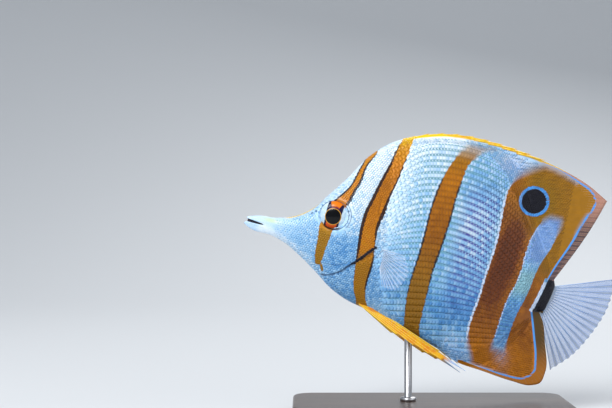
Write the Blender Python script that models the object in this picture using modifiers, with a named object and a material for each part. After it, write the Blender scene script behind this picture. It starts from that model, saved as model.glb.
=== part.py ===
"""A life-size copperband butterflyfish, swimming nose up, on a plain museum stand.

The fish is drawn in its own frame, in millimetres: x runs from the tip of the snout to the
tail, z is up, and y is across it, with the fish's left side at negative y. Its head, trunk,
tail and the two unpaired fins are one closed slab, parted by thin cuts. Two thirds of the
work is in three lines for each half: the middle line, the line where flesh ends and fin
begins, and the outline. Each is traced by station, and a station of the fins is a fin ray.
"""
import math

import bmesh
import bpy
import numpy as np
from mathutils import Matrix, Vector
from mathutils.bvhtree import BVHTree

MM = 0.001
GAP = 0.3

# Placing the fish over its stand
NOSE_UP = math.radians(13)
SNOUT_FORWARD = 78.0
LOWEST_FIN = (133.0, -40.3)
FIN_CLEARS_BASE = 6.0

# The stand
BASE_SIZE = (116.0, 54.0, 6.0)
BASE_CORNER_RADIUS = 9.0
BASE_EDGE_RADIUS = 1.2
ROD_RADIUS = 1.6
ROD_ALONG_FISH = 68.5

# Stations along the fish, and rows from its middle line out to its outline
MOUTH_STATION = 6
SPINES_FROM = 26
SOFT_DORSAL_FROM = 44
DORSAL_CORNER = 64
ANAL_FROM = 52
ANAL_CORNER = 82
FINS_TO = 98
LAST_STATION = 100
FIN_BLEND = 4
BODY_ROWS = 6
FIN_ROWS = 3

# Outlines, as x and z, with the station of some of their points
BACK_LINE = (
    (0.4, 2.5), (5.5, 3.9), (12, 4.5), (20, 7), (26, 11.3), (31.5, 18.5), (38, 27.7),
    (44.5, 38.2), (52, 45.7), (61.5, 50.9), (72, 54.4), (84, 56), (97, 55.6), (117, 53),
    (128, 50.6), (138, 47.4), (147.2, 42.8),
)
BACK_PINS = {0: 0, 2: MOUTH_STATION, 9: SPINES_FROM, 13: SOFT_DORSAL_FROM, 16: DORSAL_CORNER}
DORSAL_REAR_LINE = ((147.2, 42.8), (143.2, 33.6), (138.8, 22.6), (134.8, 12), (132.4, 5.4))
BELLY_LINE = (
    (-0.5, -0.9), (4, -2.6), (12, -3.1), (18, -4.8), (25, -8.4), (33, -13.4), (41.5, -19.2),
    (49, -22.4), (57, -24.2), (71, -28.5), (92, -34.3), (98, -36.9), (112, -38.8),
    (125, -40.2), (132.5, -40.3), (136.5, -38.4), (137.7, -33.5), (134.6, -21.1),
    (131.2, -12), (129.2, -9.4),
)
BELLY_PINS = {0: 0, 2: MOUTH_STATION, 8: SPINES_FROM, 10: ANAL_FROM, 15: ANAL_CORNER, 19: FINS_TO}
TAIL_END_TOP = (133.3, 3.2)
TAIL_END_BOTTOM = (130.7, -9.6)
DORSAL_BASE_LINE = (
    (60.6, 49.2), (72, 52.8), (84, 54.2), (93, 52.6), (101.7, 46.8), (110.5, 35), (118.4, 23),
    (126.5, 12), (131.2, 4.2),
)
DORSAL_BASE_PINS = {0: SPINES_FROM, 3: SOFT_DORSAL_FROM, 8: FINS_TO}
ANAL_BASE_LINE = (
    (91.5, -33.2), (101.6, -34.2), (110.5, -30.3), (118.6, -22.6), (124.2, -15.3), (127.8, -8.6),
)
ANAL_BASE_PINS = {0: ANAL_FROM, 5: FINS_TO}
MIDDLE_X = ((0, 0.3), (6, 12), (26, 60), (44, 84), (64, 104), (98, 130), (100, 132))
MIDDLE_Z = ((0, 0.9), (12, 0.9), (35, 6), (60, 9), (90, 8), (110, 3.5), (125, -1.5), (132, -3.2))
HALF_WIDTH = (
    (0, 1.0), (5, 1.6), (12, 2.3), (18, 3.1), (25, 4.3), (36, 6.7), (48, 9), (60, 10.4),
    (75, 11), (90, 10), (105, 7.4), (118, 4.6), (126, 3.3), (132, 2.7),
)
TAIL_SWING_FROM = 90.0
TAIL_SWING_AT = 135.0
TAIL_SWING = 3.0

# Fin membranes and rays, as half thicknesses
MEMBRANE_HALF = 0.28
RAY_RISE = 0.24
SPINE_TIP_PROUD = 0.6
FLESH_PAST_BASE = 1.1

# Gill cover
GILL_EDGE = (
    (49.5, 50), (51, 40), (53.2, 26), (53.6, 15.3), (55.6, 7), (55.7, 0.9), (53, -3.6),
    (47.4, -8.6), (41.5, -12.8), (37, -15), (34.6, -19.5),
)
GILL_LIFT = 0.55
GILL_CENTRE = (47.0, 2.0)
GILL_REACH = (11.0, 17.0)

# Where the trunk ends and the tail begins, from the dorsal fin's base to the anal fin's
TAIL_WALL = ((127.2, 12.2), (126.2, 2.0), (124.1, -16.0))

# Mouth, eyes and nostrils
MOUTH_CUT_X = 10.8
CLEFT_TIP = (-4.0, 1.35)
CLEFT_CORNER = (7.7, 0.55)
CLEFT_HALF_OPEN = 0.62
EYE_CENTRE = (35.8, 11.0)
EYE_RADIUS = 6.2
EYE_DEPTH_RADIUS = 3.1
EYE_PROUD = 0.9
EYE_TURN_FORWARD = math.radians(9)
NOSTRILS = ((28.2, 11.0), (26.8, 9.8))
NOSTRIL_RADIUS = 0.45
NOSTRIL_DEPTH = 0.8

# Paired fins and tail fin: the root line and the margin, as x, y and z
PECTORAL_ROOT = ((57.0, 7.0, 1.8), (58.6, 7.0, -4.4))
PECTORAL_MARGIN = ((67.0, 23.0, 1.5), (69.5, 28.0, -5.5), (66.5, 27.0, -12.0), (61.0, 20.0, -13.0))
PECTORAL_RAYS = 14
PELVIC_ROOT = ((62.0, 2.6, -23.4), (56.8, 2.6, -21.8))
LEFT_PELVIC_TIPS = ((91.5, 4.9, -34.3), (103.8, 5.2, -39.9), (93.0, 5.0, -37.6), (87.0, 4.9, -36.2),
                    (80.0, 4.6, -34.2), (72.0, 4.0, -31.4))
RIGHT_PELVIC_TIPS = ((90.5, 4.9, -35.0), (103.0, 5.2, -41.9), (91.5, 5.0, -38.6), (85.5, 4.9, -37.2),
                     (78.5, 4.6, -35.1), (70.5, 4.0, -31.9))
CAUDAL_ROOT = ((131.6, 2.6, 2.2), (129.2, 2.6, -8.6))
CAUDAL_MARGIN = ((159.0, 7.0, 11.5), (158.3, 8.0, -2.0), (154.5, 10.0, -14.0), (148.8, 12.5, -25.0),
                 (141.8, 15.0, -33.0))
CAUDAL_RAYS = 17
PAIRED_FIN_ROWS = 5
CAUDAL_ROWS = 7


def smooth_curve(points, per_span=12):
    """A dense smooth curve through the points, and the length along it of each of them."""
    knots = np.array(points, float)
    chord = np.concatenate([[0], np.cumsum(np.linalg.norm(np.diff(knots, axis=0), axis=1))])
    slope = np.gradient(knots, chord, axis=0)
    pieces = []
    for k in range(len(knots) - 1):
        span = chord[k + 1] - chord[k]
        t = np.linspace(0, 1, per_span, endpoint=False)[:, None]
        pieces.append(
            (2 * t**3 - 3 * t**2 + 1) * knots[k]
            + (t**3 - 2 * t**2 + t) * span * slope[k]
            + (3 * t**2 - 2 * t**3) * knots[k + 1]
            + (t**3 - t**2) * span * slope[k + 1]
        )
    dense = np.vstack(pieces + [knots[-1:]])
    length = np.concatenate([[0], np.cumsum(np.linalg.norm(np.diff(dense, axis=0), axis=1))])
    return dense, length, length[::per_span]


def trace(points, pins, stations):
    """The curve's points at these stations, spread evenly by length between its pinned points."""
    dense, length, at_knots = smooth_curve(points)
    wanted = np.interp(stations, list(pins.values()), [at_knots[k] for k in pins])
    return np.column_stack([np.interp(wanted, length, dense[:, axis]) for axis in range(dense.shape[1])])


def ease(value, low, high):
    """Rises smoothly from 0 at low to 1 at high."""
    t = np.clip((value - low) / (high - low), 0, 1)
    return t * t * (3 - 2 * t)


def by_table(table, value):
    """Reads a table of pairs by straight lines."""
    return np.interp(value, [row[0] for row in table], [row[1] for row in table])


def swing(x):
    """How far the middle plane of the fish bends to its right at x."""
    return TAIL_SWING * np.clip((x - TAIL_SWING_FROM) / (TAIL_SWING_AT - TAIL_SWING_FROM), 0, 2) ** 2


def middle_line(stations):
    """The points of the line along the middle of the body."""
    x = by_table(MIDDLE_X, stations)
    return np.column_stack([x, by_table(MIDDLE_Z, x)])


def back_outline(stations):
    """The outline from the upper jaw over the back and round the dorsal fin to the tail."""
    line = trace(BACK_LINE, BACK_PINS, stations)
    rear = trace(DORSAL_REAR_LINE, {0: DORSAL_CORNER, 4: FINS_TO}, stations)
    line[stations > DORSAL_CORNER] = rear[stations > DORSAL_CORNER]
    spine_tip = (stations > SPINES_FROM) & (stations <= SOFT_DORSAL_FROM) & (stations % 2 == 0)
    line[spine_tip, 1] += SPINE_TIP_PROUD
    line[stations > FINS_TO + 1] = TAIL_END_TOP
    line[stations == FINS_TO + 1] = (np.array(DORSAL_REAR_LINE[-1]) + TAIL_END_TOP) / 2
    return line


def belly_outline(stations):
    """The outline from the lower jaw along the belly and round the anal fin to the tail."""
    line = trace(BELLY_LINE, BELLY_PINS, stations)
    line[stations > FINS_TO + 1] = TAIL_END_BOTTOM
    line[stations == FINS_TO + 1] = (np.array(BELLY_LINE[-1]) + TAIL_END_BOTTOM) / 2
    return line


def half_rows(stations, outline, base, fin_from):
    """One half of the fish's side: the points of each row, and the half thickness there.

    Where there is no fin, the section is half an ellipse. Where there is one, the flesh thins
    to the fin's base, and the membrane goes on to the outline with a ridge on each ray.
    """
    middle = middle_line(stations)
    width = by_table(HALF_WIDTH, middle[:, 0])
    fin = ease(stations, fin_from - FIN_BLEND, fin_from + FIN_BLEND)
    fin = fin * (1 - ease(stations, FINS_TO, LAST_STATION))
    last_row = BODY_ROWS + FIN_ROWS
    round_share = np.sin(np.arange(last_row + 1) / last_row * math.pi / 2)
    edge = round_share[BODY_ROWS]
    flesh_end = middle + (outline - middle) * edge
    flesh_end += (base - flesh_end) * fin[:, None]
    to_base = np.linalg.norm(flesh_end - middle, axis=1)
    to_outline = to_base + np.linalg.norm(outline - flesh_end, axis=1)
    ray = (stations % 2 == 0) * ease(stations, fin_from, fin_from + 2)
    rows, halves = [], []
    for row in range(last_row + 1):
        if row <= BODY_ROWS:
            share = round_share[row] / edge
            points = middle + (flesh_end - middle) * share
            reach = to_base * share
            out = np.zeros(len(stations))
        else:
            even = (row - BODY_ROWS) / FIN_ROWS
            share = (round_share[row] - edge) / (1 - edge) * (1 - fin) + even * fin
            points = flesh_end + (outline - flesh_end) * share[:, None]
            reach = to_base + (to_outline - to_base) * share
            out = share
        plain = width * np.sqrt(np.clip(1 - (reach / to_outline) ** 2, 0, 1))
        fleshy = width * np.clip(1 - (reach / (to_base * FLESH_PAST_BASE)) ** 2, 0, 1) ** 0.8
        flesh = plain * (1 - fin) + fleshy * fin
        ridge = RAY_RISE * ray * fin * np.clip(out * 4, 0, 1) * (1 - 0.6 * out)
        membrane = MEMBRANE_HALF + ridge
        halves.append((flesh**4 + membrane**4) ** 0.25)
        rows.append(points)
    return np.array(rows), np.array(halves)


def gill_rise(x, z):
    """How far the gill cover stands out from the head, which is most at its rear edge."""
    across = np.hypot((x - GILL_CENTRE[0]) / GILL_REACH[0], (z - GILL_CENTRE[1]) / GILL_REACH[1])
    return GILL_LIFT * (1 - ease(across, 0.75, 1.15))


def fish_slab(lift=False, clearance=0.0):
    """The middle points and half thicknesses of head, trunk, tail and unpaired fins."""
    stations = np.arange(LAST_STATION + 1)
    dorsal_base = trace(DORSAL_BASE_LINE, DORSAL_BASE_PINS, stations)
    anal_base = trace(ANAL_BASE_LINE, ANAL_BASE_PINS, stations)
    top, top_half = half_rows(stations, back_outline(stations), dorsal_base, SPINES_FROM)
    low, low_half = half_rows(stations, belly_outline(stations), anal_base, ANAL_FROM)
    flat = np.vstack([top[::-1], low[1:]])
    half = np.vstack([top_half[::-1], low_half[1:]])
    if clearance:
        away = flat - middle_line(stations)[None]
        reach = np.linalg.norm(away, axis=2, keepdims=True)
        flat = flat + away / np.maximum(reach, 1) * clearance
        flat[:, 0, 0] -= clearance
        flat[:, -1, 0] += clearance
    if lift:
        half = half + gill_rise(flat[..., 0], flat[..., 1]) * (half > 2)
    middle = np.stack([flat[..., 0], swing(flat[..., 0]), flat[..., 1]], axis=-1)
    across = np.zeros_like(middle)
    across[..., 1] = half + clearance
    return middle, across


def slab_mesh(name, middle, across):
    """A closed mesh from a grid of middle points and the vector from each to its right face.

    Both faces are split into triangles alike, so a thin curved slab can't cross itself.
    """
    rows, columns = middle.shape[:2]
    mesh = bmesh.new()
    sides = []
    for points in (middle - across, middle + across):
        sides.append([[mesh.verts.new(Vector(points[r, c]) * MM) for c in range(columns)] for r in range(rows)])
    left, right = sides
    for r in range(rows - 1):
        for c in range(columns - 1):
            for side, order in ((left, 1), (right, -1)):
                corner = (side[r][c], side[r + 1][c], side[r + 1][c + 1], side[r][c + 1])
                mesh.faces.new((corner[0], corner[1], corner[2])[::order])
                mesh.faces.new((corner[0], corner[2], corner[3])[::order])
    edge = [(0, c) for c in range(columns)] + [(r, columns - 1) for r in range(1, rows)]
    edge += [(rows - 1, c) for c in range(columns - 2, -1, -1)] + [(r, 0) for r in range(rows - 2, 0, -1)]
    for (r0, c0), (r1, c1) in zip(edge, edge[1:] + edge[:1]):
        mesh.faces.new((left[r0][c0], left[r1][c1], right[r1][c1]))
        mesh.faces.new((left[r0][c0], right[r1][c1], right[r0][c0]))
    bmesh.ops.recalc_face_normals(mesh, faces=mesh.faces)
    return finished(name, mesh)


def finished(name, mesh):
    """An object from a bmesh, in the scene's own collection."""
    data = bpy.data.meshes.new(name)
    mesh.to_mesh(data)
    mesh.free()
    made = bpy.data.objects.new(name, data)
    bpy.context.scene.collection.objects.link(made)
    return made


def fin_mesh(name, root, tips, rows, root_half, side=1, bend=1.0):
    """A fan of rays from a root line to their tips, with membrane between them.

    Args:
        root: two points, the ends of the root line.
        tips: the point of each ray's tip, and of the margin halfway between them, in turn.
        rows: how many rows of faces there are along a ray.
        root_half: half thickness of the fleshy root.
        side: 1 for the right side of the fish, -1 for the left.
        bend: the power by which the fan bends out sideways, which is 1 for a flat fan.
    """
    columns = len(tips)
    share = np.linspace(0, 1, columns)
    roots = np.array(root[0]) + (np.array(root[1]) - np.array(root[0])) * share[:, None]
    is_ray = np.arange(columns) % 2 == 0
    out = np.linspace(0, 1, rows + 1)[:, None, None]
    middle = roots[None] + (tips - roots)[None] * out
    middle[..., 1] = roots[None, :, 1] + (tips - roots)[None, :, 1] * out[..., 0] ** bend
    middle[..., 1] *= side
    facing = np.cross((tips - roots)[columns // 2], roots[-1] - roots[0]) * (1, side, 1)
    normal = np.cross(np.gradient(middle, axis=0), np.gradient(middle, axis=1))
    normal *= np.sign((normal * facing).sum(axis=2, keepdims=True))
    normal = normal / np.linalg.norm(normal, axis=2, keepdims=True) + facing / np.linalg.norm(facing)
    normal /= np.linalg.norm(normal, axis=2, keepdims=True)
    reach = out[..., 0]
    half = MEMBRANE_HALF + RAY_RISE * is_ray[None] * (1 - 0.7 * reach)
    half = half + (root_half - MEMBRANE_HALF) * np.clip(1 - reach / 0.25, 0, 1) ** 2
    return slab_mesh(name, middle, normal * half[..., None])


def fan_margin(margin, rays):
    """Even points along a smooth margin, for a fan of this many rays."""
    columns = 2 * rays - 1
    return trace(margin, {0: 0, len(margin) - 1: columns - 1}, np.arange(columns))


def notched_margin(root, tips):
    """The given tips of rays, with the membrane going as far as the shorter of each two."""
    tips = np.array(tips, float)
    share = np.linspace(0, 1, len(tips))[:, None]
    roots = np.array(root[0]) + (np.array(root[1]) - np.array(root[0])) * share
    length = np.linalg.norm(tips - roots, axis=1)
    line = np.repeat(tips, 2, axis=0)[:-1]
    for k in range(len(tips) - 1):
        shorter = min(length[k], length[k + 1])
        pair = [roots[j] + (tips[j] - roots[j]) * shorter / length[j] for j in (k, k + 1)]
        line[2 * k + 1] = (pair[0] + pair[1]) / 2
    return line


def wall_cutter(name, line):
    """A thin upright wall along a line of x and z, right through the fish."""
    mesh = bmesh.new()
    ends = [[mesh.verts.new(Vector((x, y, z)) * MM) for x, z in line] for y in (-40, 40)]
    for k in range(len(line) - 1):
        mesh.faces.new((ends[0][k], ends[0][k + 1], ends[1][k + 1], ends[1][k]))
    wall = finished(name, mesh)
    solidify = wall.modifiers.new("thickness", "SOLIDIFY")
    solidify.thickness = GAP * MM
    solidify.offset = 0
    return as_cutter(wall)


def as_cutter(piece):
    """Puts a piece among the cutters, with its modifiers applied."""
    applied = bpy.data.meshes.new_from_object(piece.evaluated_get(bpy.context.evaluated_depsgraph_get()))
    piece.modifiers.clear()
    piece.data = applied
    piece.hide_render = True
    piece.display_type = "WIRE"
    bpy.context.scene.collection.objects.unlink(piece)
    bpy.data.collections["cutters"].objects.link(piece)
    return piece


def ball(name, centre, radii, turn=0.0, segments=20, rings=12):
    """An ellipsoid in the fish's frame, turned about the upright axis."""
    mesh = bmesh.new()
    bmesh.ops.create_uvsphere(mesh, u_segments=segments, v_segments=rings, radius=1)
    lay_down = Matrix.Rotation(math.pi / 2, 4, "X")
    size = Matrix.Diagonal((*radii, 1))
    place = Matrix.Translation(centre) @ Matrix.Rotation(turn, 4, "Z") @ size @ lay_down
    mesh.transform(Matrix.Scale(MM, 4) @ place)
    return finished(name, mesh)


def cut(piece, cutters, solver="EXACT"):
    """Takes the cutters away from a piece, for good."""
    for cutter in cutters:
        boolean = piece.modifiers.new(cutter.name, "BOOLEAN")
        boolean.object = cutter
        boolean.operation = "DIFFERENCE"
        boolean.solver = solver
    bpy.context.view_layer.update()
    applied = bpy.data.meshes.new_from_object(piece.evaluated_get(bpy.context.evaluated_depsgraph_get()))
    piece.modifiers.clear()
    piece.data = applied


def closed_pieces(piece):
    """The separate closed surfaces of an object, as bmeshes with their volume and middle."""
    whole = bmesh.new()
    whole.from_mesh(piece.data)
    bmesh.ops.triangulate(whole, faces=whole.faces)
    bmesh.ops.remove_doubles(whole, verts=whole.verts, dist=0.000001)
    found, seen = [], set()
    for start in whole.faces:
        if start in seen:
            continue
        group, queue = [], [start]
        seen.add(start)
        while queue:
            face = queue.pop()
            group.append(face)
            for edge in face.edges:
                for other in edge.link_faces:
                    if other not in seen:
                        seen.add(other)
                        queue.append(other)
        found.append(group)
    made = []
    for group in found:
        part = bmesh.new()
        copies = {vert: part.verts.new(vert.co) for vert in {v for face in group for v in face.verts}}
        for face in group:
            part.faces.new([copies[vert] for vert in face.verts])
        centre = sum((vert.co for vert in part.verts), Vector()) / len(part.verts)
        made.append((part, part.calc_volume(), centre / MM))
    whole.free()
    bpy.data.objects.remove(piece)
    return made


def largest(name, piece):
    """Keeps only the largest closed surface of a piece."""
    parts = sorted(closed_pieces(piece), key=lambda part: -part[1])
    for spare, _, _ in parts[1:]:
        spare.free()
    return finished(name, parts[0][0])


def named_parts(piece, seeds):
    """Splits a cut piece into the nodes whose seed point is nearest to each surface's middle."""
    parts = closed_pieces(piece)
    made = {}
    for name, (x, z) in seeds.items():
        best = min(parts, key=lambda part: (part[2].x - x) ** 2 + (part[2].z - z) ** 2 - min(part[1], 1e-8) * 1e8)
        made[name] = finished(name, best[0].copy())
    for spare, _, _ in parts:
        spare.free()
    return made


def offset_line(line, pins, stations, outward):
    """A base line moved towards its fin, so that the cut clears the body's own rows."""
    points = trace(line, pins, stations)
    along = np.gradient(points, axis=0)
    normal = np.column_stack([-along[:, 1], along[:, 0]])
    normal /= np.linalg.norm(normal, axis=1, keepdims=True)
    return points + normal * outward


def parting_walls():
    """The thin walls that part the fish into its nodes, and the gape of the mouth."""
    dorsal = offset_line(DORSAL_BASE_LINE, DORSAL_BASE_PINS, np.arange(SPINES_FROM, FINS_TO + 1, 3), 0.5)
    dorsal = np.vstack([[(57.6, 53.5)], dorsal, [(131.9, 4.4), (136.5, 4.6)]])
    anal = offset_line(ANAL_BASE_LINE, ANAL_BASE_PINS, np.arange(ANAL_FROM, FINS_TO + 1, 3), -0.5)
    anal = np.vstack([[(88.6, -36.8)], anal, [(128.6, -8.9), (132.0, -13.0)]])
    walls = [
        wall_cutter("gill_wall", smooth_curve(GILL_EDGE, 3)[0]),
        wall_cutter("dorsal_wall", dorsal),
        wall_cutter("anal_wall", anal),
        wall_cutter("tail_wall", TAIL_WALL),
        wall_cutter("jaw_wall", ((MOUTH_CUT_X, 20.0), (MOUTH_CUT_X + 0.4, -20.0))),
        wall_cutter("lip_wall", (CLEFT_CORNER, (MOUTH_CUT_X + 0.2, CLEFT_CORNER[1] - 0.2))),
    ]
    cleft = bmesh.new()
    bmesh.ops.create_cone(cleft, cap_ends=True, segments=24, radius1=1, radius2=1, depth=20)
    cleft.transform(Matrix.Rotation(math.pi / 2, 4, "X"))
    along = Vector((CLEFT_CORNER[0] - CLEFT_TIP[0], CLEFT_CORNER[1] - CLEFT_TIP[1]))
    slope = Matrix.Rotation(-math.atan2(along.y, along.x), 4, "Y")
    size = Matrix.Diagonal((along.length * 1.02, 1, CLEFT_HALF_OPEN, 1))
    place = Matrix.Translation((CLEFT_TIP[0], 0, CLEFT_TIP[1]))
    cleft.transform(Matrix.Scale(MM, 4) @ place @ slope @ size)
    walls.append(as_cutter(finished("mouth_gape", cleft)))
    return walls


def flank_at(tree, x, z, side):
    """How far from the middle plane the fish's surface is at x and z."""
    start = Vector((x, side * 60, z)) * MM
    hit = tree.ray_cast(start, Vector((0, -side, 0)))[0]
    return abs(hit.y) / MM


def head_openings(tree):
    """The cutters for eye sockets and nostrils, and the eyes themselves."""
    cutters, eyes = [], []
    for side, label in ((-1, "left"), (1, "right")):
        surface = flank_at(tree, *EYE_CENTRE, side)
        centre = (EYE_CENTRE[0], side * (surface + EYE_PROUD - EYE_DEPTH_RADIUS), EYE_CENTRE[1])
        turn = side * EYE_TURN_FORWARD
        radii = (EYE_RADIUS, EYE_DEPTH_RADIUS, EYE_RADIUS)
        eyes.append(ball(label + "_eye", centre, radii, turn))
        wider = [radius + GAP for radius in radii]
        cutters.append(as_cutter(ball("socket_" + label, centre, wider, turn)))
        for k, (x, z) in enumerate(NOSTRILS):
            depth = flank_at(tree, x, z, side)
            size = (NOSTRIL_RADIUS, NOSTRIL_DEPTH, NOSTRIL_RADIUS)
            pit = ball(f"nostril_{label}_{k}", (x, side * depth, z), size, 0, 8, 6)
            cutters.append(as_cutter(pit))
    return cutters, eyes


def stand():
    """A flat base with rounded corners, and one short rod."""
    mesh = bmesh.new()
    bmesh.ops.create_cube(mesh, size=1)
    mesh.transform(Matrix.Translation((0, 0, BASE_SIZE[2] / 2 * MM)) @ Matrix.Diagonal((*[s * MM for s in BASE_SIZE], 1)))
    upright = [e for e in mesh.edges if abs(e.verts[0].co.z - e.verts[1].co.z) > MM]
    bmesh.ops.bevel(mesh, geom=upright, offset=BASE_CORNER_RADIUS * MM, segments=5, profile=0.5, affect="EDGES")
    rim = [e for e in mesh.edges if min(v.co.z for v in e.verts) > (BASE_SIZE[2] - 0.1) * MM]
    bmesh.ops.bevel(mesh, geom=rim, offset=BASE_EDGE_RADIUS * MM, segments=2, profile=0.5, affect="EDGES")
    base = finished("stand_base", mesh)
    rod_top, rod_foot = 45.0, BASE_SIZE[2] + GAP
    mesh = bmesh.new()
    bmesh.ops.create_cone(mesh, cap_ends=True, segments=20, radius1=ROD_RADIUS * MM, radius2=ROD_RADIUS * MM,
                          depth=(rod_top - rod_foot) * MM)
    middle = Vector((ROD_ALONG_FISH - SNOUT_FORWARD, 0, (rod_top + rod_foot) / 2)) * MM
    mesh.transform(Matrix.Translation(middle))
    return base, finished("stand_rod", mesh)


def into_place():
    """The turn and move that carry the fish's frame over the stand."""
    drop = LOWEST_FIN[1] * math.cos(NOSE_UP) - LOWEST_FIN[0] * math.sin(NOSE_UP)
    height = BASE_SIZE[2] + FIN_CLEARS_BASE - drop
    move = Matrix.Translation(Vector((-SNOUT_FORWARD, 0, height)) * MM)
    return move @ Matrix.Rotation(NOSE_UP, 4, "Y")


def paint(piece, name, colour, roughness, metallic=0.0):
    """Gives a piece its material, made once for each name."""
    material = bpy.data.materials.get(name)
    if material is None:
        material = bpy.data.materials.new(name)
        material.use_nodes = True
        shader = material.node_tree.nodes["Principled BSDF"]
        shader.inputs["Base Color"].default_value = (*colour, 1)
        shader.inputs["Roughness"].default_value = roughness
        shader.inputs["Metallic"].default_value = metallic
    piece.data.materials.clear()
    piece.data.materials.append(material)


def main():
    """Builds every node of the fish and its stand."""
    for old in list(bpy.data.objects):
        bpy.data.objects.remove(old)
    model = bpy.data.collections.new("copperband_butterflyfish")
    cutter_store = bpy.data.collections.new("cutters")
    for collection in (model, cutter_store):
        bpy.context.scene.collection.children.link(collection)

    lifted = slab_mesh("lifted_fish", *fish_slab(lift=True))
    tree = BVHTree.FromObject(lifted, bpy.context.evaluated_depsgraph_get())
    walls = parting_walls()
    openings, eyes = head_openings(tree)
    cut(lifted, walls + openings)
    nodes = named_parts(lifted, {"head": (30, 8), "upper_jaw": (5, 3), "lower_jaw": (5, -1.5)})
    plain = slab_mesh("plain_fish", *fish_slab())
    cut(plain, walls)
    nodes.update(named_parts(plain, {
        "trunk": (85, 10), "tail": (129, -2), "dorsal_fin": (125, 40), "anal_fin": (122, -33),
    }))
    for eye in eyes:
        nodes[eye.name] = eye

    cleared = as_cutter(slab_mesh("fish_with_clearance", *fish_slab(lift=True, clearance=GAP)))
    caudal = fan_margin(CAUDAL_MARGIN, CAUDAL_RAYS)
    fan = fan_margin(PECTORAL_MARGIN, PECTORAL_RAYS)
    fins = {
        "caudal_fin": fin_mesh("caudal_fin", CAUDAL_ROOT, caudal, CAUDAL_ROWS, 2.2, 1, 1.5),
    }
    for side, label, pelvic_tips in ((-1, "left", LEFT_PELVIC_TIPS), (1, "right", RIGHT_PELVIC_TIPS)):
        pectoral = label + "_pectoral_fin"
        fins[pectoral] = fin_mesh(pectoral, PECTORAL_ROOT, fan, PAIRED_FIN_ROWS, 1.0, side)
        pelvic = label + "_pelvic_fin"
        notched = notched_margin(PELVIC_ROOT, pelvic_tips)
        fins[pelvic] = fin_mesh(pelvic, PELVIC_ROOT, notched, PAIRED_FIN_ROWS, 0.8, side)
    for name, fin in fins.items():
        cut(fin, [cleared])
        nodes[name] = largest(name, fin)
    place = into_place()
    for piece in list(nodes.values()) + [cleared]:
        piece.data.transform(place)
    nodes["stand_base"], rod = stand()
    cut(rod, [cleared])
    nodes["stand_rod"] = largest("stand_rod", rod)

    finishes = {
        "scaled_skin": ((0.72, 0.82, 0.92), 0.35, 0.0),
        "copper_fin": ((0.74, 0.38, 0.06), 0.45, 0.0),
        "clear_fin": ((0.45, 0.6, 0.8), 0.3, 0.0),
        "yellow_fin": ((0.85, 0.55, 0.03), 0.4, 0.0),
        "eye": ((0.01, 0.01, 0.02), 0.08, 0.0),
        "dark_wood": ((0.06, 0.035, 0.02), 0.4, 0.0),
        "steel": ((0.6, 0.6, 0.62), 0.25, 1.0),
    }
    finish_of = {
        "dorsal_fin": "copper_fin", "anal_fin": "copper_fin", "caudal_fin": "clear_fin",
        "left_pectoral_fin": "clear_fin", "right_pectoral_fin": "clear_fin",
        "left_pelvic_fin": "yellow_fin", "right_pelvic_fin": "yellow_fin",
        "left_eye": "eye", "right_eye": "eye", "stand_base": "dark_wood", "stand_rod": "steel",
    }
    for name, piece in nodes.items():
        piece.name = name
        bpy.context.scene.collection.objects.unlink(piece)
        model.objects.link(piece)
        finish = finish_of.get(name, "scaled_skin")
        paint(piece, finish, *finishes[finish])


main()
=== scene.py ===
"""A finished copperband butterflyfish on its museum stand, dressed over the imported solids.

Shapes are worked out in the fish's own frame, in millimetres: x runs from the tip of the
snout to the tail, z is up, and y is across it, with the left side at negative y. Points are
carried to the world, in metres, as each mesh is made.
"""
import logging
import math
from dataclasses import dataclass, field
from enum import Enum
from typing import Optional, Sequence, Union

import bmesh
import bpy
import numpy as np
from mathutils import Euler, Matrix, Vector
from mathutils.bvhtree import BVHTree


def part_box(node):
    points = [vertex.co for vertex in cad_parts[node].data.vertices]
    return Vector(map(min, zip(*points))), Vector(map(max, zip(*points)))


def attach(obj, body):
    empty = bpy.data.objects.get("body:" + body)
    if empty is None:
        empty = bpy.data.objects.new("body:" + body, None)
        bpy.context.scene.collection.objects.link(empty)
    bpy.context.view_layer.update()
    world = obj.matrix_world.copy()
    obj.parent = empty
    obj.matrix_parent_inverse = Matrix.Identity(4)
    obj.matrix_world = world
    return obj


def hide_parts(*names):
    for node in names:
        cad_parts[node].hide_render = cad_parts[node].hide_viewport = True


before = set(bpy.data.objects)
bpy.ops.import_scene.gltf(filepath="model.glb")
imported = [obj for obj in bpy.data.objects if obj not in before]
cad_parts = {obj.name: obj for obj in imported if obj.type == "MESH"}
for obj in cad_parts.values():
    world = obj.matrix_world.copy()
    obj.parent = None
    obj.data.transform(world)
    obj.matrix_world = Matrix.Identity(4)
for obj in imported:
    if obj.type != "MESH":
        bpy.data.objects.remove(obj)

log = logging.getLogger("butterflyfish")

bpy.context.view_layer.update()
MM = 0.001
Line = Sequence[tuple[float, float]]
Colour = tuple[float, float, float]
Socket = bpy.types.NodeSocket
Feed = Union[Socket, float, Sequence[float]]
# A distance, in millimetres, that stands for well outside a line.
FAR_OUT = -9.0
# How much of the fish, in millimetres, the unwrapped skin is wide and high.
BAKE_SPAN = 330.0


class Side(Enum):
    """A side of the fish, as the sign of y in its frame."""

    LEFT = -1
    RIGHT = 1

    @property
    def word(self) -> str:
        """The side's name, as the solids spell it."""
        return self.name.lower()


# ---------------------------------------------------------------- curves and frames


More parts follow.
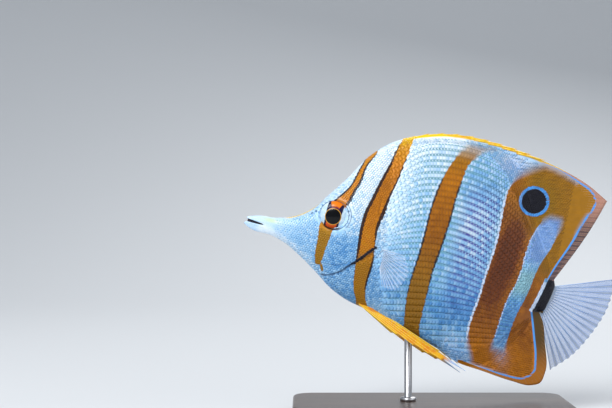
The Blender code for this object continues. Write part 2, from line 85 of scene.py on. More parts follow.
def smooth_curve(points: Sequence, per_span: int = 12) -> tuple[np.ndarray, np.ndarray, np.ndarray]:
    """Draws a dense smooth curve through points.

    Args:
        points: the points that it passes through.
        per_span: how many steps it takes between two of them.

    Returns:
        The curve's points, the length along it at each, and the length at each given point.
    """
    knots = np.array(points, float)
    chord = np.concatenate([[0], np.cumsum(np.linalg.norm(np.diff(knots, axis=0), axis=1))])
    slope = np.gradient(knots, chord, axis=0)
    pieces = []
    for k in range(len(knots) - 1):
        span = chord[k + 1] - chord[k]
        t = np.linspace(0, 1, per_span, endpoint=False)[:, None]
        pieces.append(
            (2 * t**3 - 3 * t**2 + 1) * knots[k]
            + (t**3 - 2 * t**2 + t) * span * slope[k]
            + (3 * t**2 - 2 * t**3) * knots[k + 1]
            + (t**3 - t**2) * span * slope[k + 1]
        )
    dense = np.vstack(pieces + [knots[-1:]])
    length = np.concatenate([[0], np.cumsum(np.linalg.norm(np.diff(dense, axis=0), axis=1))])
    return dense, length, length[::per_span]


def trace(points: Sequence, pins: dict[int, float], stations: np.ndarray) -> np.ndarray:
    """Reads a curve at stations that are spread evenly by length between its pinned points."""
    dense, length, at_knots = smooth_curve(points)
    wanted = np.interp(stations, list(pins.values()), [at_knots[k] for k in pins])
    return np.column_stack([np.interp(wanted, length, dense[:, axis]) for axis in range(dense.shape[1])])


def ease(value: np.ndarray, low: float, high: float) -> np.ndarray:
    """Rises smoothly from 0 at low to 1 at high."""
    t = np.clip((np.asarray(value, float) - low) / (high - low), 0, 1)
    return t * t * (3 - 2 * t)


def by_table(table: Line, value: np.ndarray) -> np.ndarray:
    """Reads a rising table of pairs by straight lines."""
    return np.interp(value, [row[0] for row in table], [row[1] for row in table])


def side_distance(points: np.ndarray, line: Line, smooth: bool = True) -> np.ndarray:
    """Measures how far points lie from a line, with a sign for the side.

    Args:
        points: x and z of each point.
        line: the line's own points, in order.
        smooth: whether the line is a smooth curve through them.

    Returns:
        The distance of each point, positive to the left of someone walking down the line.
    """
    path = smooth_curve(line, 5)[0] if smooth else np.array(line, float)
    start, run = path[:-1], np.diff(path, axis=0)
    span = (run**2).sum(axis=1)
    start, run, span = start[span > 0], run[span > 0], span[span > 0]
    found = np.empty(len(points))
    for at in range(0, len(points), 20000):
        away = points[at:at + 20000, None, :] - start[None]
        along = np.clip((away * run).sum(axis=2) / span, 0, 1)
        off = away - run * along[..., None]
        square = (off**2).sum(axis=2)
        nearest = square.argmin(axis=1)
        rows = np.arange(len(nearest))
        turn = run[nearest, 0] * away[rows, nearest, 1] - run[nearest, 1] * away[rows, nearest, 0]
        found[at:at + 20000] = np.sqrt(square[rows, nearest]) * np.sign(turn)
    return found


def blot(x: np.ndarray, z: np.ndarray, at: tuple[float, float], reach: tuple[float, float]) -> np.ndarray:
    """A soft round area: 1 at its middle, and less the farther out along x and z."""
    return np.exp(-((x - at[0]) / reach[0]) ** 2 - ((z - at[1]) / reach[1]) ** 2)


@dataclass(frozen=True)
class Placing:
    """Where the fish hangs over its stand, as in the solids."""

    nose_up: float = math.radians(13)
    snout_forward: float = 78.0
    base_height: float = 6.0
    clearance: float = 6.0
    lowest_fin: tuple[float, float] = (133.0, -40.3)

    def matrix(self) -> Matrix:
        """The turn and move from the fish's frame, in millimetres, to the world, in metres."""
        drop = self.lowest_fin[1] * math.cos(self.nose_up) - self.lowest_fin[0] * math.sin(self.nose_up)
        height = self.base_height + self.clearance - drop
        move = Matrix.Translation(Vector((-self.snout_forward, 0, height)) * MM)
        return move @ Matrix.Rotation(self.nose_up, 4, "Y") @ Matrix.Scale(MM, 4)

    def turn(self) -> np.ndarray:
        """The turn alone, for directions."""
        return np.array(self.matrix())[:3, :3] / MM

    def to_world(self, points: np.ndarray) -> np.ndarray:
        """Carries points from the fish's frame to the world."""
        turn = np.array(self.matrix())
        return np.asarray(points) @ turn[:3, :3].T + turn[:3, 3]

    def to_fish(self, points: np.ndarray) -> np.ndarray:
        """Carries points from the world back to the fish's frame."""
        turn = np.array(self.matrix().inverted())
        return np.asarray(points) @ turn[:3, :3].T + turn[:3, 3]


PLACING = Placing()


@dataclass(frozen=True)
class PhotoView:
    """The camera's place in the world, in millimetres. It is level and looks along +Y."""

    x: float = -52.4
    height: float = 88.6
    distance: float = 607.0
    lens: float = 85.0

    def on_middle(self, fish: np.ndarray, shift: np.ndarray) -> np.ndarray:
        """Carries points of the fish's side to where the camera sees them on its middle plane.

        Args:
            fish: points in the fish's frame, on either side.
            shift: how far the middle plane is bent across at each.

        Returns:
            The points as the left side shows them, where the pattern's lines were measured.
        """
        near = shift - np.abs(fish[:, 1] - shift)
        grow = self.distance / (self.distance + near)
        centre = np.array([self.x, 0, self.height]) * MM
        return PLACING.to_fish(centre + (PLACING.to_world(fish) - centre) * grow[:, None])


VIEW = PhotoView()


# ---------------------------------------------------------------- mesh helpers


def linked(name: str, data: bpy.types.ID) -> bpy.types.Object:
    """Makes an object of a mesh, a light or a camera, in the scene's collection."""
    made = bpy.data.objects.new(name, data)
    bpy.context.scene.collection.objects.link(made)
    return made


def mesh_object(name: str, points: np.ndarray, faces: Sequence, world: bool = False,
                edges: Sequence = ()) -> bpy.types.Object:
    """Makes a smooth-shaded mesh object.

    Args:
        name: the object's name.
        points: its vertices, in the fish's frame unless world is set.
        faces: the vertex numbers of each face, outwards.
        world: whether the points are in the world already.
        edges: the vertex numbers of each loose edge.

    Returns:
        The object, in the scene's collection.
    """
    places = np.asarray(points) if world else PLACING.to_world(points)
    data = bpy.data.meshes.new(name)
    data.from_pydata(places.tolist(), edges, [tuple(int(v) for v in face) for face in faces])
    data.update()
    data.shade_smooth()
    return linked(name, data)


def vertex_points(mesh: bpy.types.Mesh) -> np.ndarray:
    """The vertices of a mesh as an array."""
    flat = np.empty(len(mesh.vertices) * 3)
    mesh.vertices.foreach_get("co", flat)
    return flat.reshape(-1, 3)


def put_numbers(mesh: bpy.types.Mesh, name: str, values: np.ndarray) -> None:
    """Stores a number or a vector for each vertex of a mesh."""
    values = np.asarray(values, float)
    kind, key = ("FLOAT", "value") if values.ndim == 1 else ("FLOAT_VECTOR", "vector")
    layer = mesh.attributes.get(name) or mesh.attributes.new(name, kind, "POINT")
    layer.data.foreach_set(key, values.ravel())


def turn_outwards(piece: bpy.types.Object) -> None:
    """Turns every face of a closed piece outwards."""
    mesh = bmesh.new()
    mesh.from_mesh(piece.data)
    bmesh.ops.recalc_face_normals(mesh, faces=mesh.faces)
    mesh.to_mesh(piece.data)
    mesh.free()
    piece.data.shade_smooth()


def closed_mesh(name: str, points: np.ndarray, faces: Sequence, material: Optional[bpy.types.Material] = None,
                world: bool = False) -> bpy.types.Object:
    """Makes a closed mesh object, as mesh_object does, turns its faces outwards and dresses it."""
    piece = mesh_object(name, points, faces, world)
    turn_outwards(piece)
    if material:
        piece.data.materials.append(material)
    return piece


def grid_faces(number: np.ndarray, flip: bool = False) -> list:
    """The faces of a grid of vertex numbers."""
    corners = [number[:-1, :-1], number[1:, :-1], number[1:, 1:], number[:-1, 1:]]
    quads = np.stack(corners, axis=-1).reshape(-1, 4)
    return (quads[:, ::-1] if flip else quads).tolist()


def ring_faces(rings: int, around: int) -> list:
    """The faces of a tube of rings of points, and those that close its ends."""
    number = np.arange(rings * around).reshape(rings, around)
    after = np.roll(number, -1, axis=1)
    faces = np.stack([number[:-1], after[:-1], after[1:], number[1:]], axis=-1).reshape(-1, 4).tolist()
    return faces + [number[0, ::-1].tolist(), number[-1].tolist()]


def lathe(profile: Line, around: int) -> np.ndarray:
    """Turns a profile of places along the x axis and radii into rings of points."""
    angle = np.arange(around) / around * 2 * math.pi
    return np.vstack([np.column_stack([np.full(around, at), radius * np.cos(angle), radius * np.sin(angle)])
                      for at, radius in profile])


def joined_sides(left: np.ndarray, right: np.ndarray) -> tuple[np.ndarray, list]:
    """Joins two grids of points that lie against each other.

    Args:
        left: the points of one side, as rows and columns.
        right: the same of the other side.

    Returns:
        All points, one side after the other, and the faces of both and of the rim between them.
    """
    rows, columns = left.shape[:2]
    offset = rows * columns
    number = np.arange(offset).reshape(rows, columns)
    ring = np.concatenate([number[0], number[1:, -1], number[-1, -2::-1], number[-2:0:-1, 0]])
    after = np.roll(ring, -1)
    rim = np.stack([ring, after, after + offset, ring + offset], axis=-1).tolist()
    faces = grid_faces(number) + grid_faces(number + offset, flip=True) + rim
    return np.concatenate([left.reshape(-1, 3), right.reshape(-1, 3)]), faces


def stored_vectors(mesh: bpy.types.Mesh, name: str) -> np.ndarray:
    """Reads a vector of each vertex of a mesh."""
    flat = np.empty(len(mesh.vertices) * 3)
    mesh.attributes[name].data.foreach_get("vector", flat)
    return flat.reshape(-1, 3)


def baked(piece: bpy.types.Object) -> bpy.types.Object:
    """Turns an object with live modifiers into a plain mesh."""
    bpy.context.view_layer.update()
    plain = bpy.data.meshes.new_from_object(piece.evaluated_get(bpy.context.evaluated_depsgraph_get()))
    piece.modifiers.clear()
    piece.data = plain
    return piece


def discard(piece: bpy.types.Object) -> None:
    """Removes a helper object."""
    bpy.data.objects.remove(piece)


def ride(piece: bpy.types.Object, slot: str, *nodes: str) -> bpy.types.Object:
    """Fixes a finished piece to the model, in place of these solids."""
    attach(piece, "root")
    if nodes:
        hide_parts(*nodes)
    log.info("%s: %d faces", piece.name, len(piece.data.polygons))
    return piece


# ---------------------------------------------------------------- node helpers


class Sheet:
    """A node tree under construction, with short calls for its nodes."""

    def __init__(self, tree: bpy.types.NodeTree) -> None:
        """Holds the tree that nodes are added to."""
        self.tree = tree

    def node(self, kind: str, inputs: Optional[dict] = None, **settings: object) -> bpy.types.Node:
        """Adds a node, sets its properties and feeds its inputs, given by name or number."""
        made = self.tree.nodes.new(kind)
        for key, value in settings.items():
            setattr(made, key, value)
        for key, value in (inputs or {}).items():
            self.feed(made.inputs[key], value)
        return made

    def feed(self, target: Socket, value: Feed) -> None:
        """Links a socket, or sets it to a plain value."""
        if isinstance(value, bpy.types.NodeSocket):
            self.tree.links.new(value, target)
        else:
            target.default_value = value

    def math(self, operation: str, *values: Feed, clamp: bool = False) -> Socket:
        """Adds a Math node."""
        given = dict(enumerate(values))
        return self.node("ShaderNodeMath", given, operation=operation, use_clamp=clamp).outputs[0]

    def times(self, first: Feed, second: Feed, clamp: bool = False) -> Socket:
        """Multiplies two numbers."""
        return self.math("MULTIPLY", first, second, clamp=clamp)

    def plus(self, first: Feed, second: Feed) -> Socket:
        """Adds two numbers."""
        return self.math("ADD", first, second)

    def spread(self, value: Feed, amount: float) -> Socket:
        """Spreads a number from 0 to 1 over an amount, half of it on each side of 0."""
        return self.times(self.math("SUBTRACT", value, 0.5), amount)

    def vector(self, operation: str, *values: Feed) -> Socket:
        """Adds a Vector Math node."""
        made = self.node("ShaderNodeVectorMath", dict(enumerate(values)), operation=operation)
        return made.outputs["Value" if operation == "LENGTH" else "Vector"]

    def rise(self, value: Feed, low: Feed, high: Feed) -> Socket:
        """Rises smoothly from 0 at low to 1 at high."""
        given = {"Value": value, "From Min": low, "From Max": high}
        return self.node("ShaderNodeMapRange", given, interpolation_type="SMOOTHSTEP").outputs["Result"]

    def mix(self, share: Feed, first: Feed, second: Feed) -> Socket:
        """Mixes two colours."""
        made = self.node("ShaderNodeMix", {0: share}, data_type="RGBA")
        for socket, value in ((made.inputs[6], first), (made.inputs[7], second)):
            self.feed(socket, (*value, 1) if isinstance(value, tuple) else value)
        return made.outputs[2]

    def number(self, name: str) -> Socket:
        """Reads a number that a mesh stores for each vertex."""
        return self.node("ShaderNodeAttribute", attribute_name=name).outputs["Fac"]

    def place(self, name: str) -> Socket:
        """Reads a vector that a mesh stores for each vertex."""
        return self.node("ShaderNodeAttribute", attribute_name=name).outputs["Vector"]

    def parts(self, value: Socket) -> tuple[Socket, Socket, Socket]:
        """Splits a vector into x, y and z."""
        return tuple(self.node("ShaderNodeSeparateXYZ", {0: value}).outputs)

    def ramp(self, value: Feed, stops: Sequence[tuple[float, Colour]]) -> Socket:
        """Reads a colour from stops along 0 to 1."""
        made = self.node("ShaderNodeValToRGB", {0: value})
        band = made.color_ramp
        while len(band.elements) < len(stops):
            band.elements.new(1.0)
        for element, (at, colour) in zip(band.elements, stops):
            element.position, element.color = at, (*colour, 1)
        return made.outputs[0]

    def on_object(self, scale: Optional[Colour] = None) -> Socket:
        """The object coordinates, stretched along each axis where a scale is given."""
        place = self.node("ShaderNodeTexCoord").outputs["Object"]
        return self.node("ShaderNodeMapping",
                         {"Vector": place, "Scale": scale}).outputs["Vector"] if scale else place

    def noise(self, scale: float, detail: float = 2.0, vector: Optional[Socket] = None,
              distortion: float = 0.0) -> Socket:
        """Adds a noise, on object coordinates unless others are given."""
        given = { "Vector": vector or self.on_object(), "Scale": scale, "Detail": detail,
                 "Distortion": distortion}
        return self.node("ShaderNodeTexNoise", given).outputs["Fac"]

    def bump(self, height: Feed, distance: float, strength: float) -> Socket:
        """Turns a height into a normal."""
        given = {"Height": height, "Distance": distance, "Strength": strength}
        return self.node("ShaderNodeBump", given).outputs["Normal"]


@dataclass(frozen=True)
class Gloss:
    """How a surface shines, in values that are the same all over it."""

    roughness: float
    metallic: float = 0.0
    coat: float = 0.0
    coat_roughness: float = 0.08
    ior: float = 1.45


class Paint(Sheet):
    """A material under construction."""

    def __init__(self, name: str, gloss: Gloss) -> None:
        """Starts the material with its gloss."""
        self.material = bpy.data.materials.new(name)
        self.material.use_nodes = True
        super().__init__(self.material.node_tree)
        self.shader = self.tree.nodes["Principled BSDF"]
        for key, value in (
            ("Roughness", gloss.roughness), ("Metallic", gloss.metallic), ("Coat Weight", gloss.coat),
            ("Coat Roughness", gloss.coat_roughness), ("IOR", gloss.ior),
        ):
            self.shader.inputs[key].default_value = value

    def finish(self, colour: Feed, bump: Optional[Socket] = None,
               alpha: Optional[Socket] = None) -> bpy.types.Material:
        """Feeds the shader and hands over the material."""
        for key, value in (("Base Color", colour), ("Normal", bump), ("Alpha", alpha)):
            if value is not None:
                self.feed(self.shader.inputs[key], value)
        return self.material


class GeometrySheet(Sheet):
    """A Geometry Nodes tree under construction, with the modifier's key of each named input."""

    def __init__(self, name: str, sockets: dict[str, str]) -> None:
        """Starts the tree with a geometry and these inputs, each with its socket's kind."""
        super().__init__(bpy.data.node_groups.new(name, "GeometryNodeTree"))
        face = self.tree.interface
        face.new_socket("Geometry", in_out="INPUT", socket_type="NodeSocketGeometry")
        face.new_socket("Geometry", in_out="OUTPUT", socket_type="NodeSocketGeometry")
        self.keys = {label: face.new_socket(label, in_out="INPUT", socket_type="NodeSocket" + kind).identifier
                     for label, kind in sockets.items()}
        self.given = self.node("NodeGroupInput").outputs

    def stored(self, name: str, kind: str = "FLOAT_VECTOR") -> Socket:
        """Reads an attribute by name."""
        return self.node("GeometryNodeInputNamedAttribute", {"Name": name},
                         data_type=kind).outputs["Attribute"]

    def end(self, geometry: Socket) -> None:
        """Sets the material and hands the geometry to the tree's output."""
        dress = self.node("GeometryNodeSetMaterial",
                          {"Geometry": geometry, "Material": self.given["Material"]})
        self.feed(self.node("NodeGroupOutput").inputs[0], dress.outputs["Geometry"])

    def apply(self, piece: bpy.types.Object, settings: dict[str, object]) -> bpy.types.Object:
        """Runs the tree on a piece with these inputs, and keeps the result as a plain mesh."""
        modifier = piece.modifiers.new(self.tree.name, "NODES")
        modifier.node_group = self.tree
        for label, value in settings.items():
            modifier[self.keys[label]] = value
        baked(piece).data.shade_smooth()
        return piece


def patch_along(x: float) -> float:
    """Where a plant at x lies along the unwrapped skin."""
    return 0.02 + (x + 5) / BAKE_SPAN


def plant_table(rows: Sequence[tuple]) -> dict[str, np.ndarray]:
    """Sorts rows of plants into the planting's columns."""
    table = np.array(rows)
    columns = {name: table[:, 3 * k:3 * k + 3] for k, name in enumerate(("root", "turn", "size", "patch"))}
    return columns | {"lot": table[:, 12]}


class Planting(GeometrySheet):
    """Plants one small shape on many points, each with its own turn and size."""

    def __init__(self, patch_width: float = 0.003) -> None:
        """Builds the tree: instances on points, realised, each laid out as a patch of its own."""
        super().__init__("planting", {"Shape": "Object", "Material": "Material", "Patch width": "Float"})
        self.patch_width = patch_width
        shape = self.node("GeometryNodeObjectInfo", {"Object": self.given["Shape"]})
        turn = self.node("FunctionNodeEulerToRotation", {0: self.stored("turn")})
        plant = self.node("GeometryNodeInstanceOnPoints", {
            "Points": self.given["Geometry"], "Instance": shape.outputs["Geometry"],
            "Rotation": turn.outputs[0], "Scale": self.stored("size")})
        real = self.node("GeometryNodeRealizeInstances", {"Geometry": plant.outputs["Instances"]})
        width = {0: self.stored("lobe"), "Scale": self.given["Patch width"]}
        across = self.node("ShaderNodeVectorMath", width, operation="SCALE").outputs["Vector"]
        store = self.node("GeometryNodeStoreNamedAttribute", {
            "Geometry": real.outputs["Geometry"], "Name": "OFBake",
            "Value": self.vector("ADD", self.stored("patch"), across),
        }, data_type="FLOAT2", domain="CORNER")
        self.end(store.outputs["Geometry"])

    def plant(self, name: str, points: dict[str, np.ndarray], shape: bpy.types.Object,
              material: bpy.types.Material) -> bpy.types.Object:
        """Plants a shape.

        Args:
            name: the new piece's name.
            points: "root", "turn", "size" and "patch" of each plant, and any other numbers.
            shape: the shape that is planted.
            material: what the piece is made of.

        Returns:
            The piece, as a plain mesh.
        """
        piece = mesh_object(name, points["root"], (), world=True)
        for key, values in points.items():
            put_numbers(piece.data, key, values)
        return self.apply(piece, {"Shape": shape, "Material": material, "Patch width": self.patch_width})


class RayTubes(GeometrySheet):
    """Makes tapered tubes along lines, for the rays of the fins."""

    def __init__(self, sides: int = 6) -> None:
        """Builds the tree: mesh edges to curves, to tubes with the radius that each point holds."""
        super().__init__("ray_tubes", {"Sides": "Int", "Material": "Material"})
        self.sides = sides
        radius_here = self.stored("radius_here", "FLOAT")
        lines = self.node("GeometryNodeMeshToCurve", {"Mesh": self.given["Geometry"]})
        radius = self.node("GeometryNodeSetCurveRadius",
                           {"Curve": lines.outputs["Curve"], "Radius": radius_here})
        ring = self.node("GeometryNodeCurvePrimitiveCircle",
                         {"Resolution": self.given["Sides"], "Radius": 1.0})
        tube = self.node("GeometryNodeCurveToMesh", {
            "Curve": radius.outputs["Curve"], "Profile Curve": ring.outputs["Curve"], "Fill Caps": True})
        if "Scale" in tube.inputs:
            self.feed(tube.inputs["Scale"], radius_here)
        real = self.node("GeometryNodeRealizeInstances", {"Geometry": tube.outputs["Mesh"]})
        self.end(real.outputs["Geometry"])

    def tubes(self, name: str, lines: Sequence[np.ndarray], radii: Sequence[np.ndarray],
              material: bpy.types.Material, extra: dict[str, Sequence]) -> bpy.types.Object:
        """Makes one piece of many tubes.

        Args:
            name: the piece's name.
            lines: the points of each tube's middle, in the fish's frame.
            radii: the radius at each of those points, in millimetres.
            material: what the piece is made of.
            extra: other numbers at each point, by name.

        Returns:
            The piece, as a plain mesh.
        """
        edges, at = [], 0
        for line in lines:
            edges += [(at + k, at + k + 1) for k in range(len(line) - 1)]
            at += len(line)
        piece = mesh_object(name, np.vstack(lines), (), edges=edges)
        put_numbers(piece.data, "radius_here", np.concatenate(radii) * MM)
        for key, values in extra.items():
            put_numbers(piece.data, key, np.concatenate(values))
        return self.apply(piece, {"Sides": self.sides, "Material": material})


# ---------------------------------------------------------------- the fish's form


@dataclass(frozen=True)
class Stations:
    """Where features lie along the fish. A station of the fins is half the step between rays."""

    mouth: int = 6
    spines_from: int = 26
    soft_dorsal_from: int = 44
    dorsal_corner: int = 64
    anal_from: int = 52
    anal_corner: int = 82
    fins_to: int = 98
    last: int = 100
    blend: int = 4


AT = Stations()


@dataclass
class Flank:
    """The side of the fish: its middle line, fin bases and outlines, and how thick it is.

    Each half of the side runs in rows from the middle line to the flesh's edge, then on to
    the outline. Only the skin's fineness differs from the solids, and the coat's depth.
    """

    back: Line = (
        (0.4, 2.5), (5.5, 3.9), (12, 4.5), (20, 7), (26, 11.3), (31.5, 18.5), (38, 27.7),
        (44.5, 38.2), (52, 45.7), (61.5, 50.9), (72, 54.4), (84, 56), (97, 55.6), (117, 53),
        (128, 50.6), (138, 47.4), (147.2, 42.8),
    )
    dorsal_rear: Line = ((147.2, 42.8), (144.6, 34.2), (140.4, 23), (135.5, 12), (132.4, 5.4))
    belly: Line = (
        (-0.5, -0.9), (4, -2.6), (12, -3.1), (18, -4.8), (25, -8.4), (33, -13.4), (41.5, -19.2),
        (49, -22.4), (57, -24.2), (71, -28.5), (92, -34.3), (98, -36.9), (112, -38.8),
        (125, -40.2), (132.5, -40.3), (136.5, -38.4), (137.7, -33.5), (134.6, -21.1),
        (131.2, -12), (129.2, -9.4),
    )
    tail_end_top: tuple[float, float] = (133.3, 3.2)
    tail_end_bottom: tuple[float, float] = (130.7, -9.6)
    dorsal_base: Line = (
        (60.6, 49.2), (72, 52.8), (84, 54.2), (93, 52.6), (101.7, 46.8), (110.5, 35), (118.4, 23),
        (126.5, 12), (131.2, 4.2),
    )
    anal_base: Line = (
        (91.5, -33.2), (101.6, -34.2), (110.5, -30.3), (118.6, -22.6), (124.2, -15.3), (127.8, -8.6),
    )
    middle_x: Line = ((0, 0.3), (6, 12), (26, 60), (44, 84), (64, 104), (98, 130), (100, 132))
    middle_z: Line = ((0, 0.9), (12, 0.9), (35, 6), (60, 9), (90, 8), (110, 3.5), (125, -1.5), (132, -3.2))
    half_width: Line = (
        (0, 1.0), (5, 1.6), (12, 2.3), (18, 3.1), (25, 4.3), (36, 6.7), (48, 9), (60, 10.4),
        (75, 11), (90, 10), (105, 7.4), (118, 4.6), (126, 3.3), (132, 2.7),
    )
    swing_from: float = 90.0
    swing_at: float = 135.0
    swing: float = 3.0
    membrane_half: float = 0.22
    ray_rise: float = 0.10
    coat_depth: float = 0.12
    body_share: float = 6 / 9
    gill_edge: Line = (
        (49.5, 50), (51, 40), (53.2, 26), (53.6, 15.3), (55.9, 7), (55.4, 1.1), (49.6, -5.2),
        (45.8, -8.8), (42.9, -11.7), (38.7, -13.9), (35.5, -15), (33, -19),
    )
    gill_lift: float = 0.5
    gill_centre: tuple[float, float] = (47.0, 2.0)
    gill_reach: tuple[float, float] = (11.0, 17.0)

    def middle(self, stations: np.ndarray) -> np.ndarray:
        """The line along the middle of the body."""
        x = by_table(self.middle_x, stations)
        return np.column_stack([x, by_table(self.middle_z, x)])

    def shift(self, x: np.ndarray) -> np.ndarray:
        """How far the middle plane bends to the fish's right at x."""
        return self.swing * np.clip((x - self.swing_from) / (self.swing_at - self.swing_from), 0, 2) ** 2

    def upper_outline(self, stations: np.ndarray) -> np.ndarray:
        """The outline from the upper jaw, over the back and down the dorsal fin's rear edge."""
        pins = {0: 0, 2: AT.mouth, 9: AT.spines_from, 13: AT.soft_dorsal_from, 16: AT.dorsal_corner}
        line = trace(self.back, pins, stations)
        rear = trace(self.dorsal_rear, {0: AT.dorsal_corner, 4: AT.fins_to}, stations)
        line[stations > AT.dorsal_corner] = rear[stations > AT.dorsal_corner]
        return self._ended(line, stations, self.dorsal_rear[-1], self.tail_end_top)

    def lower_outline(self, stations: np.ndarray) -> np.ndarray:
        """The outline from the lower jaw, along the belly and round the anal fin."""
        pins = {0: 0, 2: AT.mouth, 8: AT.spines_from, 10: AT.anal_from, 15: AT.anal_corner, 19: AT.fins_to}
        line = trace(self.belly, pins, stations)
        return self._ended(line, stations, self.belly[-1], self.tail_end_bottom)

    def _ended(self, line: np.ndarray, stations: np.ndarray, fin: tuple, tail: tuple) -> np.ndarray:
        """Carries an outline on from the last ray to the end of the tail."""
        share = np.clip((stations - AT.fins_to) / 2, 0, 1)[:, None]
        on = np.array(fin) + (np.array(tail) - np.array(fin)) * share
        return np.where((stations > AT.fins_to)[:, None], on, line)

    def half(self, stations: np.ndarray, outline: np.ndarray, base: np.ndarray, fin_from: int,
             body_rows: int, fin_rows: int) -> tuple[np.ndarray, np.ndarray, np.ndarray]:
        """Works out one half of the side.

        Args:
            stations: the stations that columns stand at.
            outline: the outline at each station.
            base: the fin's base at each station.
            fin_from: the station that the fin begins at.
            body_rows: the number of rows over the flesh.
            fin_rows: the number of rows from there to the outline.

        Returns:
            The point of each row and column, the half thickness, and how far out on the fin it is.
        """
        middle = self.middle(stations)
        width = by_table(self.half_width, middle[:, 0])
        fin = ease(stations, fin_from - AT.blend,
                   fin_from + AT.blend) * (1 - ease(stations, AT.fins_to, AT.last))
        edge = math.sin(self.body_share * math.pi / 2)
        flesh_end = middle + (outline - middle) * edge
        flesh_end += (base - flesh_end) * fin[:, None]
        to_base = np.linalg.norm(flesh_end - middle, axis=1)
        to_outline = to_base + np.linalg.norm(outline - flesh_end, axis=1)
        ray = np.clip(np.cos(stations * math.pi), 0, 1) ** 3 * ease(stations, fin_from, fin_from + 2)
        rows, halves, outs = [], [], []
        for row in range(body_rows + fin_rows + 1):
            if row <= body_rows:
                share = math.sin(row / body_rows * self.body_share * math.pi / 2) / edge
                points = middle + (flesh_end - middle) * share
                reach, out = to_base * share, np.zeros(len(stations))
            else:
                even = (row - body_rows) / fin_rows
                arc = math.sin((self.body_share + even * (1 - self.body_share)) * math.pi / 2)
                out = (arc - edge) / (1 - edge) * (1 - fin) + even * fin
                points = flesh_end + (outline - flesh_end) * out[:, None]
                reach = to_base + (to_outline - to_base) * out
            plain = width * np.sqrt(np.clip(1 - (reach / to_outline) ** 2, 0, 1))
            fleshy = width * np.clip(1 - (reach / (to_base * 1.15)) ** 2, 0, 1)
            flesh = plain * (1 - fin) + fleshy * fin
            raised = self.ray_rise * ray * fin * np.clip(out * 4, 0, 1) * (1 - 0.6 * out)
            membrane = self.membrane_half + raised
            membrane = membrane * (1 - 0.45 * ease(out, 0.55, 0.95) * fin)
            thick = (flesh**2.6 + membrane**2.6) ** (1 / 2.6)
            halves.append(thick - self.coat_depth * ease(thick, 0.4, 1.5))
            rows.append(points)
            outs.append(out * fin)
        return np.array(rows), np.array(halves), np.array(outs)

    def gill_rise(self, x: np.ndarray, z: np.ndarray) -> np.ndarray:
        """How far the gill cover stands out, which ends in a step along its rear edge."""
        across = np.hypot((x - self.gill_centre[0]) / self.gill_reach[0],
                          (z - self.gill_centre[1]) / self.gill_reach[1])
        points = np.column_stack([x.ravel(), z.ravel()])
        behind = side_distance(points, self.gill_edge).reshape(x.shape)
        return self.gill_lift * (1 - ease(across, 0.75, 1.5)) * (1 - ease(behind, -0.45, 0.25))

    def dorsal_root(self, stations: np.ndarray) -> np.ndarray:
        """The dorsal fin's base at stations."""
        return trace(self.dorsal_base, {0: AT.spines_from, 3: AT.soft_dorsal_from, 8: AT.fins_to}, stations)

    def anal_root(self, stations: np.ndarray) -> np.ndarray:
        """The anal fin's base at stations."""
        return trace(self.anal_base, {0: AT.anal_from, 5: AT.fins_to}, stations)


